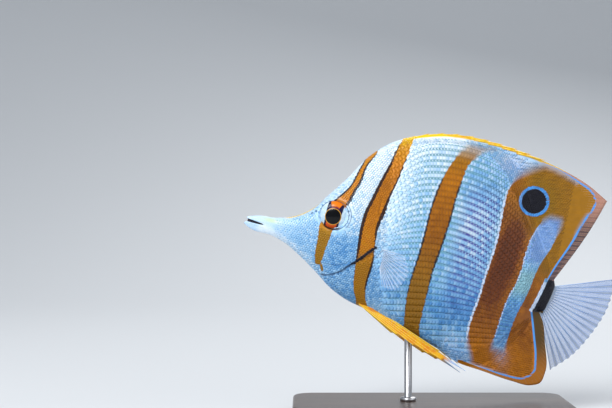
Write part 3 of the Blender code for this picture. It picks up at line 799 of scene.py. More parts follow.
@dataclass
class Markings:
    """The fish's pattern, as lines on its side. All are x and z in the fish's frame."""

    eye_band_front: Line = (
        (43.4, 46), (43.4, 40), (43, 35.4), (42.2, 33), (41.2, 29.2), (39.8, 24.6), (37.6, 21), (34.8, 17),
        (32.6, 11),
        (30.9, 6.4), (31.2, -0.5), (31.6, -7.2), (32.4, -10.2), (33.4, -12),
    )
    eye_band_back: Line = (
        (45.6, 46.6), (47, 43.6), (47.4, 40.7), (46, 37.7), (44.5, 34.8), (43.9, 32.4), (43.3, 27.4),
        (41.7, 22.6), (40.4, 17.2), (38.6, 11),
        (36.6, 4.3), (35.8, 0), (35.3, -3.7), (35, -7.5), (34.5, -10), (33.8, -12),
    )
    gill_band_front: Line = (
        (58, 53), (56.4, 47.8), (54.8, 42.9), (53.7, 37.5), (52.6, 33.8), (50.7, 26.8), (49.3, 20.8),
        (48, 15.6), (47.6, 9), (48.2, 0.3),
        (49, -7.4), (50.6, -17.5), (52.4, -21.5), (53.5, -26),
    )
    gill_band_back: Line = (
        (61.2, 54), (60.9, 49.3), (60.5, 44.2), (59.6, 38.5), (58.6, 31.4), (57, 23.7), (56.1, 16.7),
        (54.8, 9.6),
        (55.5, 0.9), (56, -5.8), (55.4, -13.8), (55.9, -18.9), (57.4, -22.5), (60, -26),
    )
    mid_band_front: Line = (
        (86, 54), (82.7, 50.8), (78.9, 43.7), (76.6, 36), (75.1, 27.4), (74.6, 20.8), (74.5, 13.1),
        (74.1, 3.3),
        (73, -9.6), (73.2, -18.9), (74.3, -26), (75, -32),
    )
    mid_band_back: Line = (
        (97, 53.8), (92.3, 52.2), (88.6, 48.3), (85.8, 44.3), (84.8, 38.2), (83.8, 30.5), (83.6, 23.6),
        (83, 14.6), (82, 5.1),
        (81.1, -3), (81, -10.1), (80.9, -19.5), (81, -26), (82.6, -33),
    )
    rear_band_front: Line = (
        (124, 55.5), (118, 52.4), (112.9, 49.4), (109.2, 46), (106.2, 42), (104.6, 37.5), (104.3, 32),
        (104.6, 24.2), (104.8, 16.1),
        (104.4, 9.7), (103.5, 1.3), (102.8, -9.4), (101.7, -17.5), (101.4, -23), (102, -28.1), (104.6, -33),
        (107, -42),
    )
    wedge_front: Line = (
        (127.4, 32.4), (125, 30.9), (121.2, 27.3), (118.7, 21.3), (117.6, 14.2), (117.3, 5.6), (116.1, -0.8),
        (114.4, -6.6), (113.5, -13), (112.9, -20), (112.7, -26.2), (113.2, -32),
    )
    wedge_back: Line = (
        (127.6, 32.4), (128.9, 30.4), (129.1, 27.6), (128.6, 22.9), (127.3, 17.2), (124.9, 11.2),
        (123.5, 5.5),
        (122.6, -0.8), (121.3, -6.5), (119.7, -13), (118.8, -18.6), (118.2, -24.7), (117.6, -32),
    )
    dorsal_line: Line = (
        (116, 52.3), (124, 50.9), (133.2, 47.6), (139.8, 44.3), (141.4, 41.7), (138.6, 31.8), (135.3, 21.1),
        (131.3, 11), (129.2, 4.6),
    )
    anal_line: Line = (
        (125.3, -8.6), (129, -19.3), (131.9, -29), (132.3, -34.3), (129, -37.6), (121.3, -38.3), (113, -37.6),
        (104, -36.6),
    )
    tail_bar_front: Line = ((129.8, 7), (129.2, 4), (127.9, -2), (126.5, -7.5), (126, -9.5))
    tail_bar_back: Line = ((134.2, 7), (133.4, 2.8), (132.9, -4), (131.2, -7.6), (127.2, -10))
    gill_line: Line = ((55.9, 1.7), (55.2, 1.1), (49.6, -5.2), (45.8, -8.8), (42.9, -11.7), (38.7, -13.9),
                       (36, -14.4))
    cheek_line: Line = ((34.9, -9.5), (40, -9.3), (45.5, -7.1), (50, -2.5))
    throat: Line = ((8, -1.5), (13, -3.2), (23, -7.2), (36.8, -15.8))
    spot: tuple[float, float] = (116.2, 35.6)
    spot_radius: float = 5.15
    spot_ring: float = 6.4
    eye: tuple[float, float] = (35.8, 11.0)
    nostrils: Line = ((28.2, 11.0), (26.8, 9.8))
    cleft_tip: tuple[float, float] = (-4.0, 1.35)
    cleft_corner: tuple[float, float] = (7.7, 0.55)
    wedge_tints: Line = ((-28, 0.15), (-8, 0.1), (-2, -0.7), (5, -0.7), (12, 0.55), (34, 0.6))
    eye_tone: Line = ((-12, 0.32), (5, 0.32), (14, 0.42), (30, 0.36), (42, 0.28))
    gill_tone: Line = ((-24, 0.34), (-12, 0.38), (4, 0.38), (20, 0.46), (30, 0.48), (38, 0.40), (44, 0.24),
                       (48, 0.1))
    mid_tone: Line = ((-30, 0.58), (-18, 0.54), (4, 0.60), (20, 0.58), (36, 0.46), (43, 0.46), (50, 0.24))
    rear_tone: Line = ((-38, 0.46), (-30, 0.48), (-22, 0.61), (-10, 0.77), (4, 0.87), (16, 0.88), (26, 0.75),
                       (34, 0.58), (50, 0.45))
    mid_olive: Line = ((-30, 0.7), (-8, 0.6), (2, 0.35), (12, 0.08), (38, 0.05), (46, 0.5))
    gill_front_ink: Line = ((-22, 0.02), (-8, 0.12), (0, 0.55), (12, 0.70), (30, 0.60), (42, 0.38), (49, 0.0),
                            (52, -0.3))
    gill_back_ink: Line = ((-22, 0.0), (-14, 0.4), (-6, 0.45), (2, 0.15), (10, 0.6), (18, 0.75), (26, 0.42),
                           (40, 0.2), (47, -0.25))
    strip_depth: Line = ((56.5, 0.0), (58.5, 0.9), (66, 1.2), (90, 1.15), (115, 0.95), (124, 0.6), (129, 0.0))
    # Painted light on the pale skin, as share, middle and reach: lit areas on the upper and middle flank, a
    # darker patch on the lower gill cover, painted light on the belly under the pelvic fins where they shade
    # it, and a painted highlight at the dorsal fin's base.
    lit_areas: tuple = (
        (0.22, (50, 24), (12, 20)), (0.10, (63, 4), (9, 14)), (-0.18, (43, -3), (7, 7)),
        (0.22, (64, -22), (10, 4)), (0.24, (105, 50), (8, 4)),
    )

    def fields(self, fish: np.ndarray, flank: Flank) -> dict[str, np.ndarray]:
        """Works out the pattern's fields at points of the fish.

        Args:
            fish: points in the fish's frame.
            flank: the form that the pattern lies on.

        Returns:
            For each field its value at each point. Fields named for an area are a distance in
            millimetres, positive inside it, and the others run from 0 to 1.
        """
        flat = fish[:, [0, 2]]
        x, z = flat.T
        off = {name: side_distance(flat, getattr(self, name)) for name in (
            "eye_band_front", "eye_band_back", "gill_band_front", "gill_band_back", "mid_band_front",
            "mid_band_back", "rear_band_front", "wedge_front", "wedge_back", "dorsal_line", "anal_line",
            "tail_bar_front", "tail_bar_back",
        )}
        inside = {band: np.minimum(off[band + "_front"], -off[band + "_back"])
                  for band in ("eye_band", "gill_band", "mid_band", "wedge", "tail_bar")}
        eye_band = np.minimum(inside["eye_band"], z + 10.6)
        chin_spot = 0.62 - 0.7 * np.hypot((x - 35.5 + 0.3 * (z + 11.5)) / 0.75, (z + 11.5) / 1.8)
        gill_band, mid_band = inside["gill_band"], np.minimum(inside["mid_band"], 53 - z)
        margin = np.maximum(np.where((z > 4.4) & (x > 112), off["dorsal_line"], FAR_OUT),
                            np.where((z < -8.4) & (x > 100), off["anal_line"], FAR_OUT))
        at_tail = (x > 118) & (z > -9.8) & (z < 5.2)
        tail_bar = np.where(at_tail, np.minimum(inside["tail_bar"], 4.9 - z), FAR_OUT)
        wedge = np.minimum.reduce([inside["wedge"], 0.8 * (30.4 - z), 0.7 * (z + 28.4)])
        rear_area = np.minimum.reduce([off["rear_band_front"], -wedge, -margin,
                                       np.where(at_tail, -off["tail_bar_front"] - 1.4, -FAR_OUT)])
        from_spot = np.hypot(x - self.spot[0], z - self.spot[1])
        # A lens along the gape, inked below as painted shade in the mouth's opening.
        mouth = 0.66 * np.sqrt(np.clip(1 - ((x + 4) / 11.9) ** 2, 0, 1)) - np.abs(z - self.gape(x))
        tone, olive = self._tone(x, z, eye_band, gill_band, mid_band, -off["wedge_front"])
        # The lilac blot at the dorsal fin's base is a painted highlight; the lilac low on the rear belly is
        # the skin's own tint.
        lilac = np.maximum(0.4 * blot(x, z, (104, 48), (8, 5)), 0.2 * ease(-z, 23, 30) * ease(x, 86, 98))
        in_wedge = ease(wedge, -0.5, 0.5) * by_table(self.wedge_tints, z)
        eye_x, eye_z = x - self.eye[0], z - self.eye[1]
        return {
            "from_eye": np.hypot(eye_x, eye_z),
            # Weights of painted shade rings: at the eye's rim where it meets the socket, and just behind the
            # orbit's fold.
            "socket": 0.08 + 0.62 * ease(eye_x, -1, 4),
            "behind_eye": 0.65 * ease(eye_x, 0, 2) * (1 - ease(np.abs(eye_z - 1), 3.5, 6.0)),
            "under_eye": 0.92 * ease(-eye_z, 2.6, 4.2) * (1 - ease(np.abs(eye_x), 3.0, 4.0)),
            "copper": np.maximum.reduce([eye_band, chin_spot, gill_band, mid_band, rear_area]),
            "tone": tone,
            "olive": olive,
            "fade": np.maximum(0.4 * ease(z, 45, 53) * (mid_band > -3) * (x < 98),
                               0.5 * self._anal_blush(x, z)),
            "tint": np.where(np.abs(in_wedge) > lilac, in_wedge, lilac),
            "outline": self._outline(x, z, off, eye_band),
            "shade": self._shade(flat),
            "blue_line": self._blue_lines(x, z, off, from_spot),
            # Ink: the eye spot, the tail bar and the spot's dark ring, with painted shade along the gape of
            # the mouth.
            "ink": np.maximum.reduce([
                self.spot_radius - from_spot, tail_bar, np.where(x < self.cleft_corner[0], mouth, FAR_OUT),
                0.06 - np.abs(from_spot - self.spot_ring - 0.1)]),
            "line_pale": np.maximum.reduce([
                1 - ease(x, 106, 112), at_tail * 1.0,
                (np.abs(off["wedge_front"]) < 1.2) * (z > -26) * (z < 27) * 0.85]),
            "margin": margin,
            "margin_depth": np.where(z > 0, 1 - ease(z, 26, 43), 0.9 * ease(z, -36, -20)),
            "margin_pink": (z > 0) * 1.0,
            "gold": self._gold(x, z, flank),
            # The pale skin's tone, with painted light and highlights on it.
            "light": self._light(x, z),
            "violet": ease(x, 84, 92) * (1 - ease(x, 101, 105)) * (1 - ease(z, 28, 44)) * ease(z, -30, -8),
            "softness": np.maximum.reduce([
                ease(z, 44, 52) * (x > 70) * (x < 96), 2.1 * ease(z, 39, 48) * (x > 100) * (x < 133),
                ease(-z, 22, 30) * (x > 98) * (x < 122), 1.2 * ease(z, 20, 29) * (x > 121) * (z < 36)]),
            "snout_tint": blot(x, z, (10.6, 2.9), (4.5, 1.2)),
        }

    @staticmethod
    def _anal_blush(x: np.ndarray, z: np.ndarray) -> np.ndarray:
        """Where the wedge's lower end fades out over the anal fin in pinkish streaks."""
        streaks = 0.6 + 0.4 * np.sin((x - 0.5 * z) * 4.2)
        return streaks * blot(x + 0.35 * (z + 30), z, (116.5, -30), (3, 4.5))

    def _tone(self, x: np.ndarray, z: np.ndarray, eye_band: np.ndarray, gill_band: np.ndarray,
              mid_band: np.ndarray, before_wedge: np.ndarray) -> tuple[np.ndarray, np.ndarray]:
        """Works out the copper's colour.

        Args:
            x: how far along the fish each point is.
            z: how high up it is.
            eye_band: how far it lies inside the band through the eye.
            gill_band: the same of the band behind the gill cover.
            mid_band: the same of the middle band.
            before_wedge: how far it lies in front of the pale wedge.

        Returns:
            The hue, from 0 for yellow over orange to 1 for dark brown, and how olive it is.
        """
        in_eye, in_gill, in_mid = eye_band > -1.5, gill_band > -1.5, mid_band > -1.5
        rim = 0.22 * (1 - ease(before_wedge, 0.6, 4.5)) + 0.14 * ease(before_wedge, 10.0, 12.5)
        rear = by_table(self.rear_tone, z)
        rear -= rim * by_table(((-20, 0), (-8, 0.7), (4, 1), (20, 1), (28, 0)), z)
        aft = ease(x + 0.35 * z, 121, 131)
        rear += (by_table(((-20, 0.46), (0, 0.54), (40, 0.48)), z) - rear) * aft
        tone = np.where(in_eye, by_table(self.eye_tone, z), rear)
        tone = np.where(in_gill, by_table(self.gill_tone, z), tone)
        tone = np.where(in_mid, by_table(self.mid_tone, z), tone)
        olive = 0.65 * aft * ease(z, 0, 10) + 0.4 * blot(x, z, (116, 36), (9, 9))
        olive = np.where(in_eye | ((x < 40) & (z < 0)), 0.75 * (1 - ease(z, 2, 8)), olive)
        olive = np.where(in_gill, 0.55 * (1 - ease(z, -8, 2)), olive)
        return tone, np.where(in_mid, by_table(self.mid_olive, z), olive)

    def _outline(self, x: np.ndarray, z: np.ndarray, off: dict[str, np.ndarray],
                 eye_band: np.ndarray) -> np.ndarray:
        """The dark edges of bands and gill cover.

        Args:
            x: how far along the fish each point is.
            z: how high up it is.
            off: its distance from each line of the pattern.
            eye_band: how far it lies inside the band through the eye.

        Returns:
            The distance into the dark, in millimetres.
        """
        thick, rear_thick = by_table(self.gill_front_ink, z), by_table(self.gill_back_ink, z)
        gill_line = np.abs(side_distance(np.column_stack([x, z]), self.gill_line))
        edges = [
            thick - np.abs(off["gill_band_front"] - thick * 0.8),
            rear_thick - np.abs(off["gill_band_back"] + rear_thick * 0.7),
            by_table(((-28, 0.05), (0, 0.36), (34, 0.34), (44, -0.14)), z) - np.abs(off["mid_band_front"]),
            by_table(((-28, 0.08), (0, 0.38), (34, 0.34), (44, -0.14)), z) - np.abs(off["mid_band_back"]),
            np.where((z < 7) & (z > -11), 0.05 - np.abs(eye_band), FAR_OUT),
            by_table(((42, -0.3), (46, 0.12), (49, 0.55), (53, 0.62), (55.8, 0.4)), x) - gill_line,
        ]
        for name, table in (
            ("eye_band_front", ((16, 0.42), (34, 0.26), (42, 0.1))),
            ("eye_band_back", ((16, 0.62), (30, 0.44), (42, 0.12))),
        ):
            edges.append(np.where(z > 16, by_table(table, z) - np.abs(off[name]), FAR_OUT))
        return np.maximum.reduce(edges)

    def _shade(self, flat: np.ndarray) -> np.ndarray:
        """Painted shade in the creases of the head, as a share: along the gill cover's edge, in the cheek
        crease and in the nostril pits.
        """
        x, z = flat.T
        gill = np.abs(side_distance(flat, self.gill_line)) / by_table(((36, 0.4), (44, 0.5), (57, 0.8)), x)
        cheek = np.abs(side_distance(flat, self.cheek_line))
        nostril = np.min([np.hypot(x - spot[0], z - spot[1]) for spot in self.nostrils], axis=0)
        return np.maximum.reduce([
            0.9 * (1 - ease(gill, 0.4, 1.0)), 0.3 * (1 - ease(cheek, 0.1, 0.5)),
            0.6 * (1 - ease(nostril, 0.22, 0.45)),
        ])

    def _blue_lines(self, x: np.ndarray, z: np.ndarray, off: dict[str, np.ndarray],
                    from_spot: np.ndarray) -> np.ndarray:
        """The pale blue lines.

        Args:
            x: how far along the fish each point is.
            z: how high up it is.
            off: its distance from each line of the pattern.
            from_spot: its distance from the middle of the eye spot.

        Returns:
            The distance into them, in millimetres.
        """
        dorsal_half = by_table(((114, 0.1), (126, 0.2), (137, 0.46), (150, 0.46)), x)
        anal_half = by_table(((100, -0.1), (108, 0.12), (124, 0.38), (135, 0.44)), x)
        near_tail = (x > 118) & (z > -9.6) & (z < 4.6)
        return np.maximum.reduce([
            0.42 * ease(-z, -45, -35) * ease(z, -33, -24) - np.abs(off["rear_band_front"] + 0.3),
            by_table(((-12, -0.3), (-2, 0.2), (34, 0.26), (43, -0.3)),
                     z) - np.abs(off["mid_band_front"] + 0.8),
            0.25 - np.abs(np.where((z > -24) & (z < 25), off["wedge_front"], 9) - 0.25),
            np.where(z > 4, dorsal_half - np.abs(off["dorsal_line"]), FAR_OUT),
            np.where(z < -8, anal_half - np.abs(off["anal_line"]), FAR_OUT),
            (self.spot_ring - self.spot_radius) / 2
            - np.abs(from_spot - (self.spot_ring + self.spot_radius) / 2),
            np.where(near_tail & (z < 3.7), 0.66 - np.abs(off["tail_bar_front"] + 0.7), FAR_OUT),
            np.where(near_tail & (z < 1.5) & (z > -5.5), 0.3 - np.abs(off["tail_bar_back"] - 0.34), FAR_OUT),
        ])

    def _gold(self, x: np.ndarray, z: np.ndarray, flank: Flank) -> np.ndarray:
        """The yellow strip along the back and the touches of yellow on the snout."""
        above = z - np.interp(x, *np.array(smooth_curve(flank.back, 6)[0]).T)
        depth = by_table(self.strip_depth, x)
        strip = np.where(depth > 0.05, ease(above + depth, -0.35, 0.35), 0)
        return np.maximum(strip, 0.8 * ease(above, -0.8, -0.1) * ease(x, 15, 18) * (1 - ease(x, 26, 31)))

    def _light(self, x: np.ndarray, z: np.ndarray) -> np.ndarray:
        """How bright the pale skin is: partly its own tone and partly painted light, lighter towards the top,
        with painted lit areas and a painted highlight along the throat and lower jaw.
        """
        # Painted light: lighter towards the top, a little darker towards the tail.
        light = 0.60 + 0.0068 * z - 0.0015 * (x - 70)
        for share, at, reach in self.lit_areas:
            light += share * blot(x, z, at, reach)
        light -= 0.24 * ease(x, 82, 90) * ease(z, 20, 38) + 0.13 * ease(x, 80, 90) * (1 - ease(z, -8, 6))
        light += 0.08 * ease(x, 82, 88) * (1 - ease(x, 99, 103)) * (1 - ease(np.abs(z - 8), 14, 24))
        # A painted highlight along the throat and the lower jaw.
        to_throat = np.abs(side_distance(np.column_stack([x, z]), self.throat))
        light += 0.18 * (1 - ease(to_throat, 0.8, 4.0)) * (1 - ease(x, 34, 40)) + 0.10 * (1 - ease(x, 8, 26))
        return np.clip(light + 0.45 * ease(-z, 17, 30) * ease(x, 78, 94), 0.12, 1)

    def gape(self, x: np.ndarray) -> np.ndarray:
        """The height of the middle of the gape at x."""
        return np.interp(x, *zip(self.cleft_tip, self.cleft_corner))


# ---------------------------------------------------------------- finishes


@dataclass(frozen=True)
class FishPalette:
    """The colours of the fish, in linear light."""

    # The pale skin's blue-white, read by the light field: the deep blue end also stands for painted shade and
    # the near-white end for painted light.
    pearl: tuple = (
        (0.0, (0.03, 0.14, 0.40)), (0.35, (0.09, 0.31, 0.68)), (0.65, (0.31, 0.58, 0.88)),
        (1.0, (0.80, 0.91, 1.0)),
    )
    copper: tuple = (
        (0.0, (0.94, 0.56, 0.005)), (0.2, (0.60, 0.27, 0.004)), (0.4, (0.58, 0.195, 0.002)),
        (0.6, (0.34, 0.105, 0.002)),
        (0.8, (0.15, 0.032, 0.002)), (1.0, (0.07, 0.014, 0.001)),
    )
    olive: Colour = (0.27, 0.145, 0.003)
    lilac: Colour = (0.18, 0.28, 0.72)
    moss: Colour = (0.30, 0.53, 0.52)
    blue_line: Colour = (0.075, 0.33, 0.82)
    pale_line: Colour = (0.66, 0.78, 0.98)
    ink: Colour = (0.003, 0.003, 0.010)
    shade: Colour = (0.02, 0.06, 0.16)
    margin_pink: Colour = (0.46, 0.22, 0.16)
    margin_orange: Colour = (0.40, 0.135, 0.004)
    margin_olive: Colour = (0.05, 0.034, 0.006)
    margin_dark: Colour = (0.09, 0.055, 0.06)
    gold: Colour = (0.92, 0.60, 0.008)
    snout_tint: Colour = (0.62, 0.74, 0.22)
    row_teal: Colour = (0.13, 0.36, 0.46)
    row_violet: Colour = (0.06, 0.06, 0.36)
    row_brown: Colour = (0.12, 0.03, 0.004)
    margin_ray: Colour = (0.62, 0.36, 0.30)


PALETTE = FishPalette()


class PatternNodes:
    """The node group that turns the stored fields of the pattern into colour."""

    def __init__(self, palette: FishPalette = PALETTE) -> None:
        """Builds the group, with the pale skin's brightness shift and its row line as inputs."""
        tree = bpy.data.node_groups.new("fish_pattern", "ShaderNodeTree")
        for label in ("Lift", "Row line"):
            tree.interface.new_socket(label, in_out="INPUT", socket_type="NodeSocketFloat")
        tree.interface.new_socket("Colour", in_out="OUTPUT", socket_type="NodeSocketColor")
        self.tree, sheet = tree, Sheet(tree)
        given = sheet.node("NodeGroupInput").outputs
        colour = sheet.mix(self._copper_share(sheet), self._pearl(sheet, given, palette),
                           self._copper(sheet, given, palette))
        colour = sheet.mix(sheet.rise(sheet.number("margin"), -0.1, 0.15), colour,
                           self._margin(sheet, palette))
        colour = sheet.mix(sheet.number("gold"), colour, palette.gold)
        # Painted shade in the creases and pits of the head.
        colour = sheet.mix(sheet.number("shade"), colour, palette.shade)
        # Rings round the eye: socket and behind_eye are painted shade, at the eye's rim and behind the
        # orbit's fold; under_eye is a dark ink line below the eye.
        for weight, radius, half, tone in (
            ("socket", 6.25, 0.16, palette.shade), ("behind_eye", 7.3, 0.16, palette.shade),
            ("under_eye", 5.8, 0.36, palette.ink),
        ):
            away = sheet.math("ABSOLUTE", sheet.math("SUBTRACT", sheet.number("from_eye"), radius))
            ring = sheet.times(sheet.rise(away, half + 0.14, half - 0.06), sheet.number(weight))
            colour = sheet.mix(ring, colour, tone)
        dark = sheet.times(sheet.rise(sheet.number("outline"), -0.14, 0.1), 0.93)
        colour = sheet.mix(dark, colour, palette.ink)
        blue = sheet.mix(sheet.number("line_pale"), palette.blue_line, palette.pale_line)
        for name, tone in (("blue_line", blue), ("ink", palette.ink)):
            colour = sheet.mix(sheet.rise(sheet.number(name), -0.12, 0.12), colour, tone)
        sheet.feed(sheet.node("NodeGroupOutput").inputs["Colour"], colour)

    @staticmethod
    def _pearl(sheet: Sheet, given: Sequence[Socket], palette: FishPalette) -> Socket:
        """The pale skin, tinted lilac or moss, with the lines between rows of scales."""
        blotch = sheet.spread(sheet.noise(160, 3), 0.16)
        # The light field carries painted light and shade on the pale skin.
        light = sheet.plus(sheet.plus(sheet.number("light"), given["Lift"]), blotch)
        pearl, tint = sheet.ramp(light, palette.pearl), sheet.number("tint")
        pearl = sheet.mix(sheet.times(tint, 1.0, clamp=True), pearl, palette.lilac)
        pearl = sheet.mix(sheet.times(tint, -1.0, clamp=True), pearl, palette.moss)
        row = sheet.mix(sheet.number("violet"), palette.row_teal, palette.row_violet)
        pearl = sheet.mix(given["Row line"], pearl, row)
        return sheet.mix(sheet.times(sheet.number("snout_tint"), 0.6), pearl, palette.snout_tint)

    @staticmethod
    def _copper(sheet: Sheet, given: Sequence[Socket], palette: FishPalette) -> Socket:
        """The bands' copper, from yellow to dark brown, a little darker where rows meet."""
        streak = sheet.spread(sheet.noise(420, 2), 0.3)
        copper = sheet.ramp(sheet.plus(sheet.number("tone"), streak), palette.copper)
        copper = sheet.mix(sheet.number("olive"), copper, palette.olive)
        return sheet.mix(sheet.times(given["Row line"], 0.28), copper, palette.row_brown)

    @staticmethod
    def _copper_share(sheet: Sheet) -> Socket:
        """How much copper lies over the pale skin, with an edge as soft as the stored softness."""
        soft = sheet.math("MULTIPLY_ADD", sheet.number("softness"), 1.6, 0.12)
        edge = sheet.rise(sheet.number("copper"), sheet.times(soft, -1), soft)
        return sheet.times(edge, sheet.math("SUBTRACT", 1.0, sheet.number("fade")))

    @staticmethod
    def _margin(sheet: Sheet, palette: FishPalette) -> Socket:
        """The fins' rayed margins, pink to dark on the dorsal fin and orange to olive on the anal fin."""
        dorsal = sheet.number("margin_pink")
        outer = sheet.mix(sheet.number("margin_depth"),
                          sheet.mix(dorsal, palette.margin_orange, palette.margin_pink),
                          sheet.mix(dorsal, palette.margin_olive, palette.margin_dark))
        return sheet.mix(sheet.times(sheet.times(sheet.number("ray"), 0.25), dorsal), outer,
                         palette.margin_ray)

    def use(self, sheet: Sheet, lift: Feed, row_line: Feed = 0.0) -> Socket:
        """Adds the group to a material's sheet and returns its colour."""
        return sheet.node("ShaderNodeGroup", {"Lift": lift, "Row line": row_line},
                          node_tree=self.tree).outputs[0]


def skin_material(pattern: PatternNodes) -> bpy.types.Material:
    """Wet skin with the pattern, and a fine grain of buried scale edges."""
    paint = Paint("wet_skin", Gloss(0.36, coat=0.16, ior=1.36))
    grain = paint.noise(2600, 2)
    cell = paint.node("ShaderNodeTexVoronoi", {"Scale": 1100, "Vector": paint.on_object()})
    bump = paint.bump(paint.plus(grain, cell.outputs["Distance"]), 0.00006, 0.6)
    return paint.finish(pattern.use(paint, paint.spread(grain, 0.25)), bump)


def scale_material(pattern: PatternNodes) -> bpy.types.Material:
    """Pearly scales: light in the middle, with a darker line where rows meet."""
    paint = Paint("scales", Gloss(0.33, metallic=0.12, coat=0.16, ior=1.36))
    out, side, _ = paint.parts(paint.place("lobe"))
    across = paint.times(paint.math("ABSOLUTE", side), 2)
    row_line = paint.times(paint.rise(across, 0.25, 0.85), paint.number("row_weight"))
    rim = paint.times(paint.rise(out, 0.62, 0.98), -0.1)
    comb = paint.math("SINE", paint.times(side, 60))
    lift = paint.plus(paint.plus(rim, paint.spread(paint.number("lot"), 0.30)), paint.times(comb, 0.03))
    return paint.finish(pattern.use(paint, lift, row_line), paint.bump(paint.times(comb, 0.5), 0.00003, 0.5))


def fin_material(name: str, web: Colour, ray: Colour, clear: float) -> bpy.types.Material:
    """Thin fin skin, clear between its rays.

    Args:
        name: the material's name.
        web: the membrane's colour.
        ray: the colour near the rays and at the fleshy root.
        clear: how opaque the membrane is.

    Returns:
        The material.
    """
    paint = Paint(name, Gloss(0.28, coat=0.3))
    share = paint.math("MAXIMUM", paint.number("root_share"), paint.times(paint.number("ray"), 0.5))
    alpha = paint.math("MULTIPLY_ADD", share, 0.75, clear, clamp=True)
    return paint.finish(paint.mix(share, web, ray), paint.bump(paint.noise(1500, 2), 0.00005, 0.5), alpha)


def ray_material(name: str, root: Colour, tip: Colour, alphas: tuple[float, float] = (0.95, 0.6),
                 turns: Optional[tuple[float, float]] = None) -> bpy.types.Material:
    """A jointed fin ray.

    Args:
        name: the material's name.
        root: the colour at its root.
        tip: the colour at its tip.
        alphas: how opaque its root and its tip are.
        turns: the stored place, in decimetres, between which the colour turns, instead of along the ray.

    Returns:
        The material.
    """
    paint = Paint(name, Gloss(0.32, coat=0.3))
    root_alpha, tip_alpha = alphas
    out = paint.number("out_share")
    joints = paint.rise(paint.math("SINE", paint.times(out, 190)), 0.2, 0.9)
    share = paint.rise(paint.number("turn_at"), *turns) if turns else paint.rise(out, 0.1, 0.9)
    colour = paint.mix(paint.times(joints, 0.2), paint.mix(share, root, tip), (0.9, 0.95, 1.0))
    fade = paint.math("MULTIPLY_ADD", paint.rise(out, 0.3, 1.0), tip_alpha - root_alpha, root_alpha)
    return paint.finish(colour, alpha=fade)


def pelvic_material() -> bpy.types.Material:
    """Yellow to orange fin skin that fades to pale blue at its trailing tips."""
    paint = Paint("pelvic_yellow", Gloss(0.34, coat=0.35))
    warm = paint.mix(paint.rise(paint.noise(240, 2), 0.42, 0.62), (0.86, 0.44, 0.004), (0.76, 0.24, 0.003))
    edge = paint.mix(paint.number("edge_share"), warm, (0.94, 0.62, 0.01))
    pale = paint.mix(paint.rise(paint.number("turn_at"), 0.93, 0.98), edge, (0.42, 0.58, 0.88))
    return paint.finish(pale, paint.bump(paint.noise(1800, 2), 0.00006, 0.5))


def spine_material() -> bpy.types.Material:
    """Yellow spines with paler tips."""
    paint = Paint("yellow_spine", Gloss(0.3, coat=0.4))
    speckle = paint.rise(paint.noise(700, 2), 0.35, 0.7)
    return paint.finish(paint.mix(speckle, (0.78, 0.42, 0.01), (0.90, 0.62, 0.04)))


def eye_material() -> bpy.types.Material:
    """A black pupil in a gold ring, in an iris that carries the eye band across it."""
    paint = Paint("eye", Gloss(0.22, coat=0.2, coat_roughness=0.02, ior=1.25))
    iris = paint.place("iris")
    x, _, height = paint.parts(iris)
    z, whole = paint.plus(height, 0.55), paint.vector("LENGTH", iris)
    radius = paint.math("SQRT", paint.plus(paint.math("POWER", x, 2), paint.math("POWER", z, 2)))
    rings = paint.rise(paint.math("SINE", paint.times(radius, 11)), -0.6, 0.9)
    fleck = paint.noise(900, 3)
    pale = paint.mix(paint.times(rings, 0.55), (0.60, 0.76, 0.86), (0.20, 0.40, 0.58))
    pale = paint.mix(paint.rise(fleck, 0.5, 0.75), pale, (0.75, 0.86, 0.92))
    glow = paint.rise(paint.plus(radius, paint.times(fleck, 0.8)), 4.1, 5.2)
    ember = paint.mix(glow, (0.10, 0.01, 0.05), (0.80, 0.20, 0.008))
    ember = paint.mix(paint.rise(z, -2.0, -3.0), ember, (0.62, 0.085, 0.008))
    narrow = paint.times(paint.rise(z, 6.2, 3.4), paint.rise(z, 0.0, 2.0))
    wide = paint.math("ABSOLUTE", paint.plus(x, paint.times(z, -0.04)))
    flank = paint.math("SUBTRACT", wide, paint.times(paint.rise(z, -1, 3), 0.30))
    inner = paint.plus(flank, paint.times(narrow, 0.95))
    navy = paint.mix(paint.rise(fleck, 0.4, 0.7), (0.006, 0.006, 0.03), (0.02, 0.015, 0.07))
    colour = paint.mix(paint.rise(flank, 2.95, 3.25), navy, pale)
    colour = paint.mix(paint.rise(inner, 2.0, 2.5), ember, colour)
    colour = paint.mix(paint.rise(radius, 3.35, 3.6), (0.62, 0.30, 0.03), colour)
    colour = paint.mix(paint.rise(radius, 3.15, 3.3), (0.001, 0.001, 0.002), colour)
    low = paint.times(paint.rise(whole, 5.2, 5.7), paint.rise(z, -3.2, -4.2))
    colour = paint.mix(paint.times(low, 0.9), colour, (0.01, 0.01, 0.03))
    return paint.finish(paint.mix(paint.rise(whole, 5.8, 6.15), colour, (0.03, 0.07, 0.13)))


def walnut_material() -> bpy.types.Material:
    """Dark, close-grained wood under a satin lacquer."""
    paint = Paint("dark_walnut", Gloss(0.34, coat=0.4, coat_roughness=0.18))
    grain = paint.noise(3.0, 8.0, paint.on_object((14, 160, 160)), 0.6)
    colour = paint.ramp(grain, ((0.25, (0.018, 0.009, 0.005)), (0.5, (0.050, 0.024, 0.012)),
                                (0.75, (0.085, 0.042, 0.02))))
    return paint.finish(colour, paint.bump(grain, 0.0001, 0.4))


def steel_material() -> bpy.types.Material:
    """Brushed steel, with fine rings round the rod."""
    paint = Paint("brushed_steel", Gloss(0.3, metallic=1.0))
    brushed = paint.noise(1.0, 4, paint.on_object((30, 30, 5000)))
    return paint.finish(paint.mix(brushed, (0.42, 0.42, 0.43), (0.66, 0.66, 0.68)),
                        paint.bump(brushed, 0.00002, 0.6))


# ---------------------------------------------------------------- body


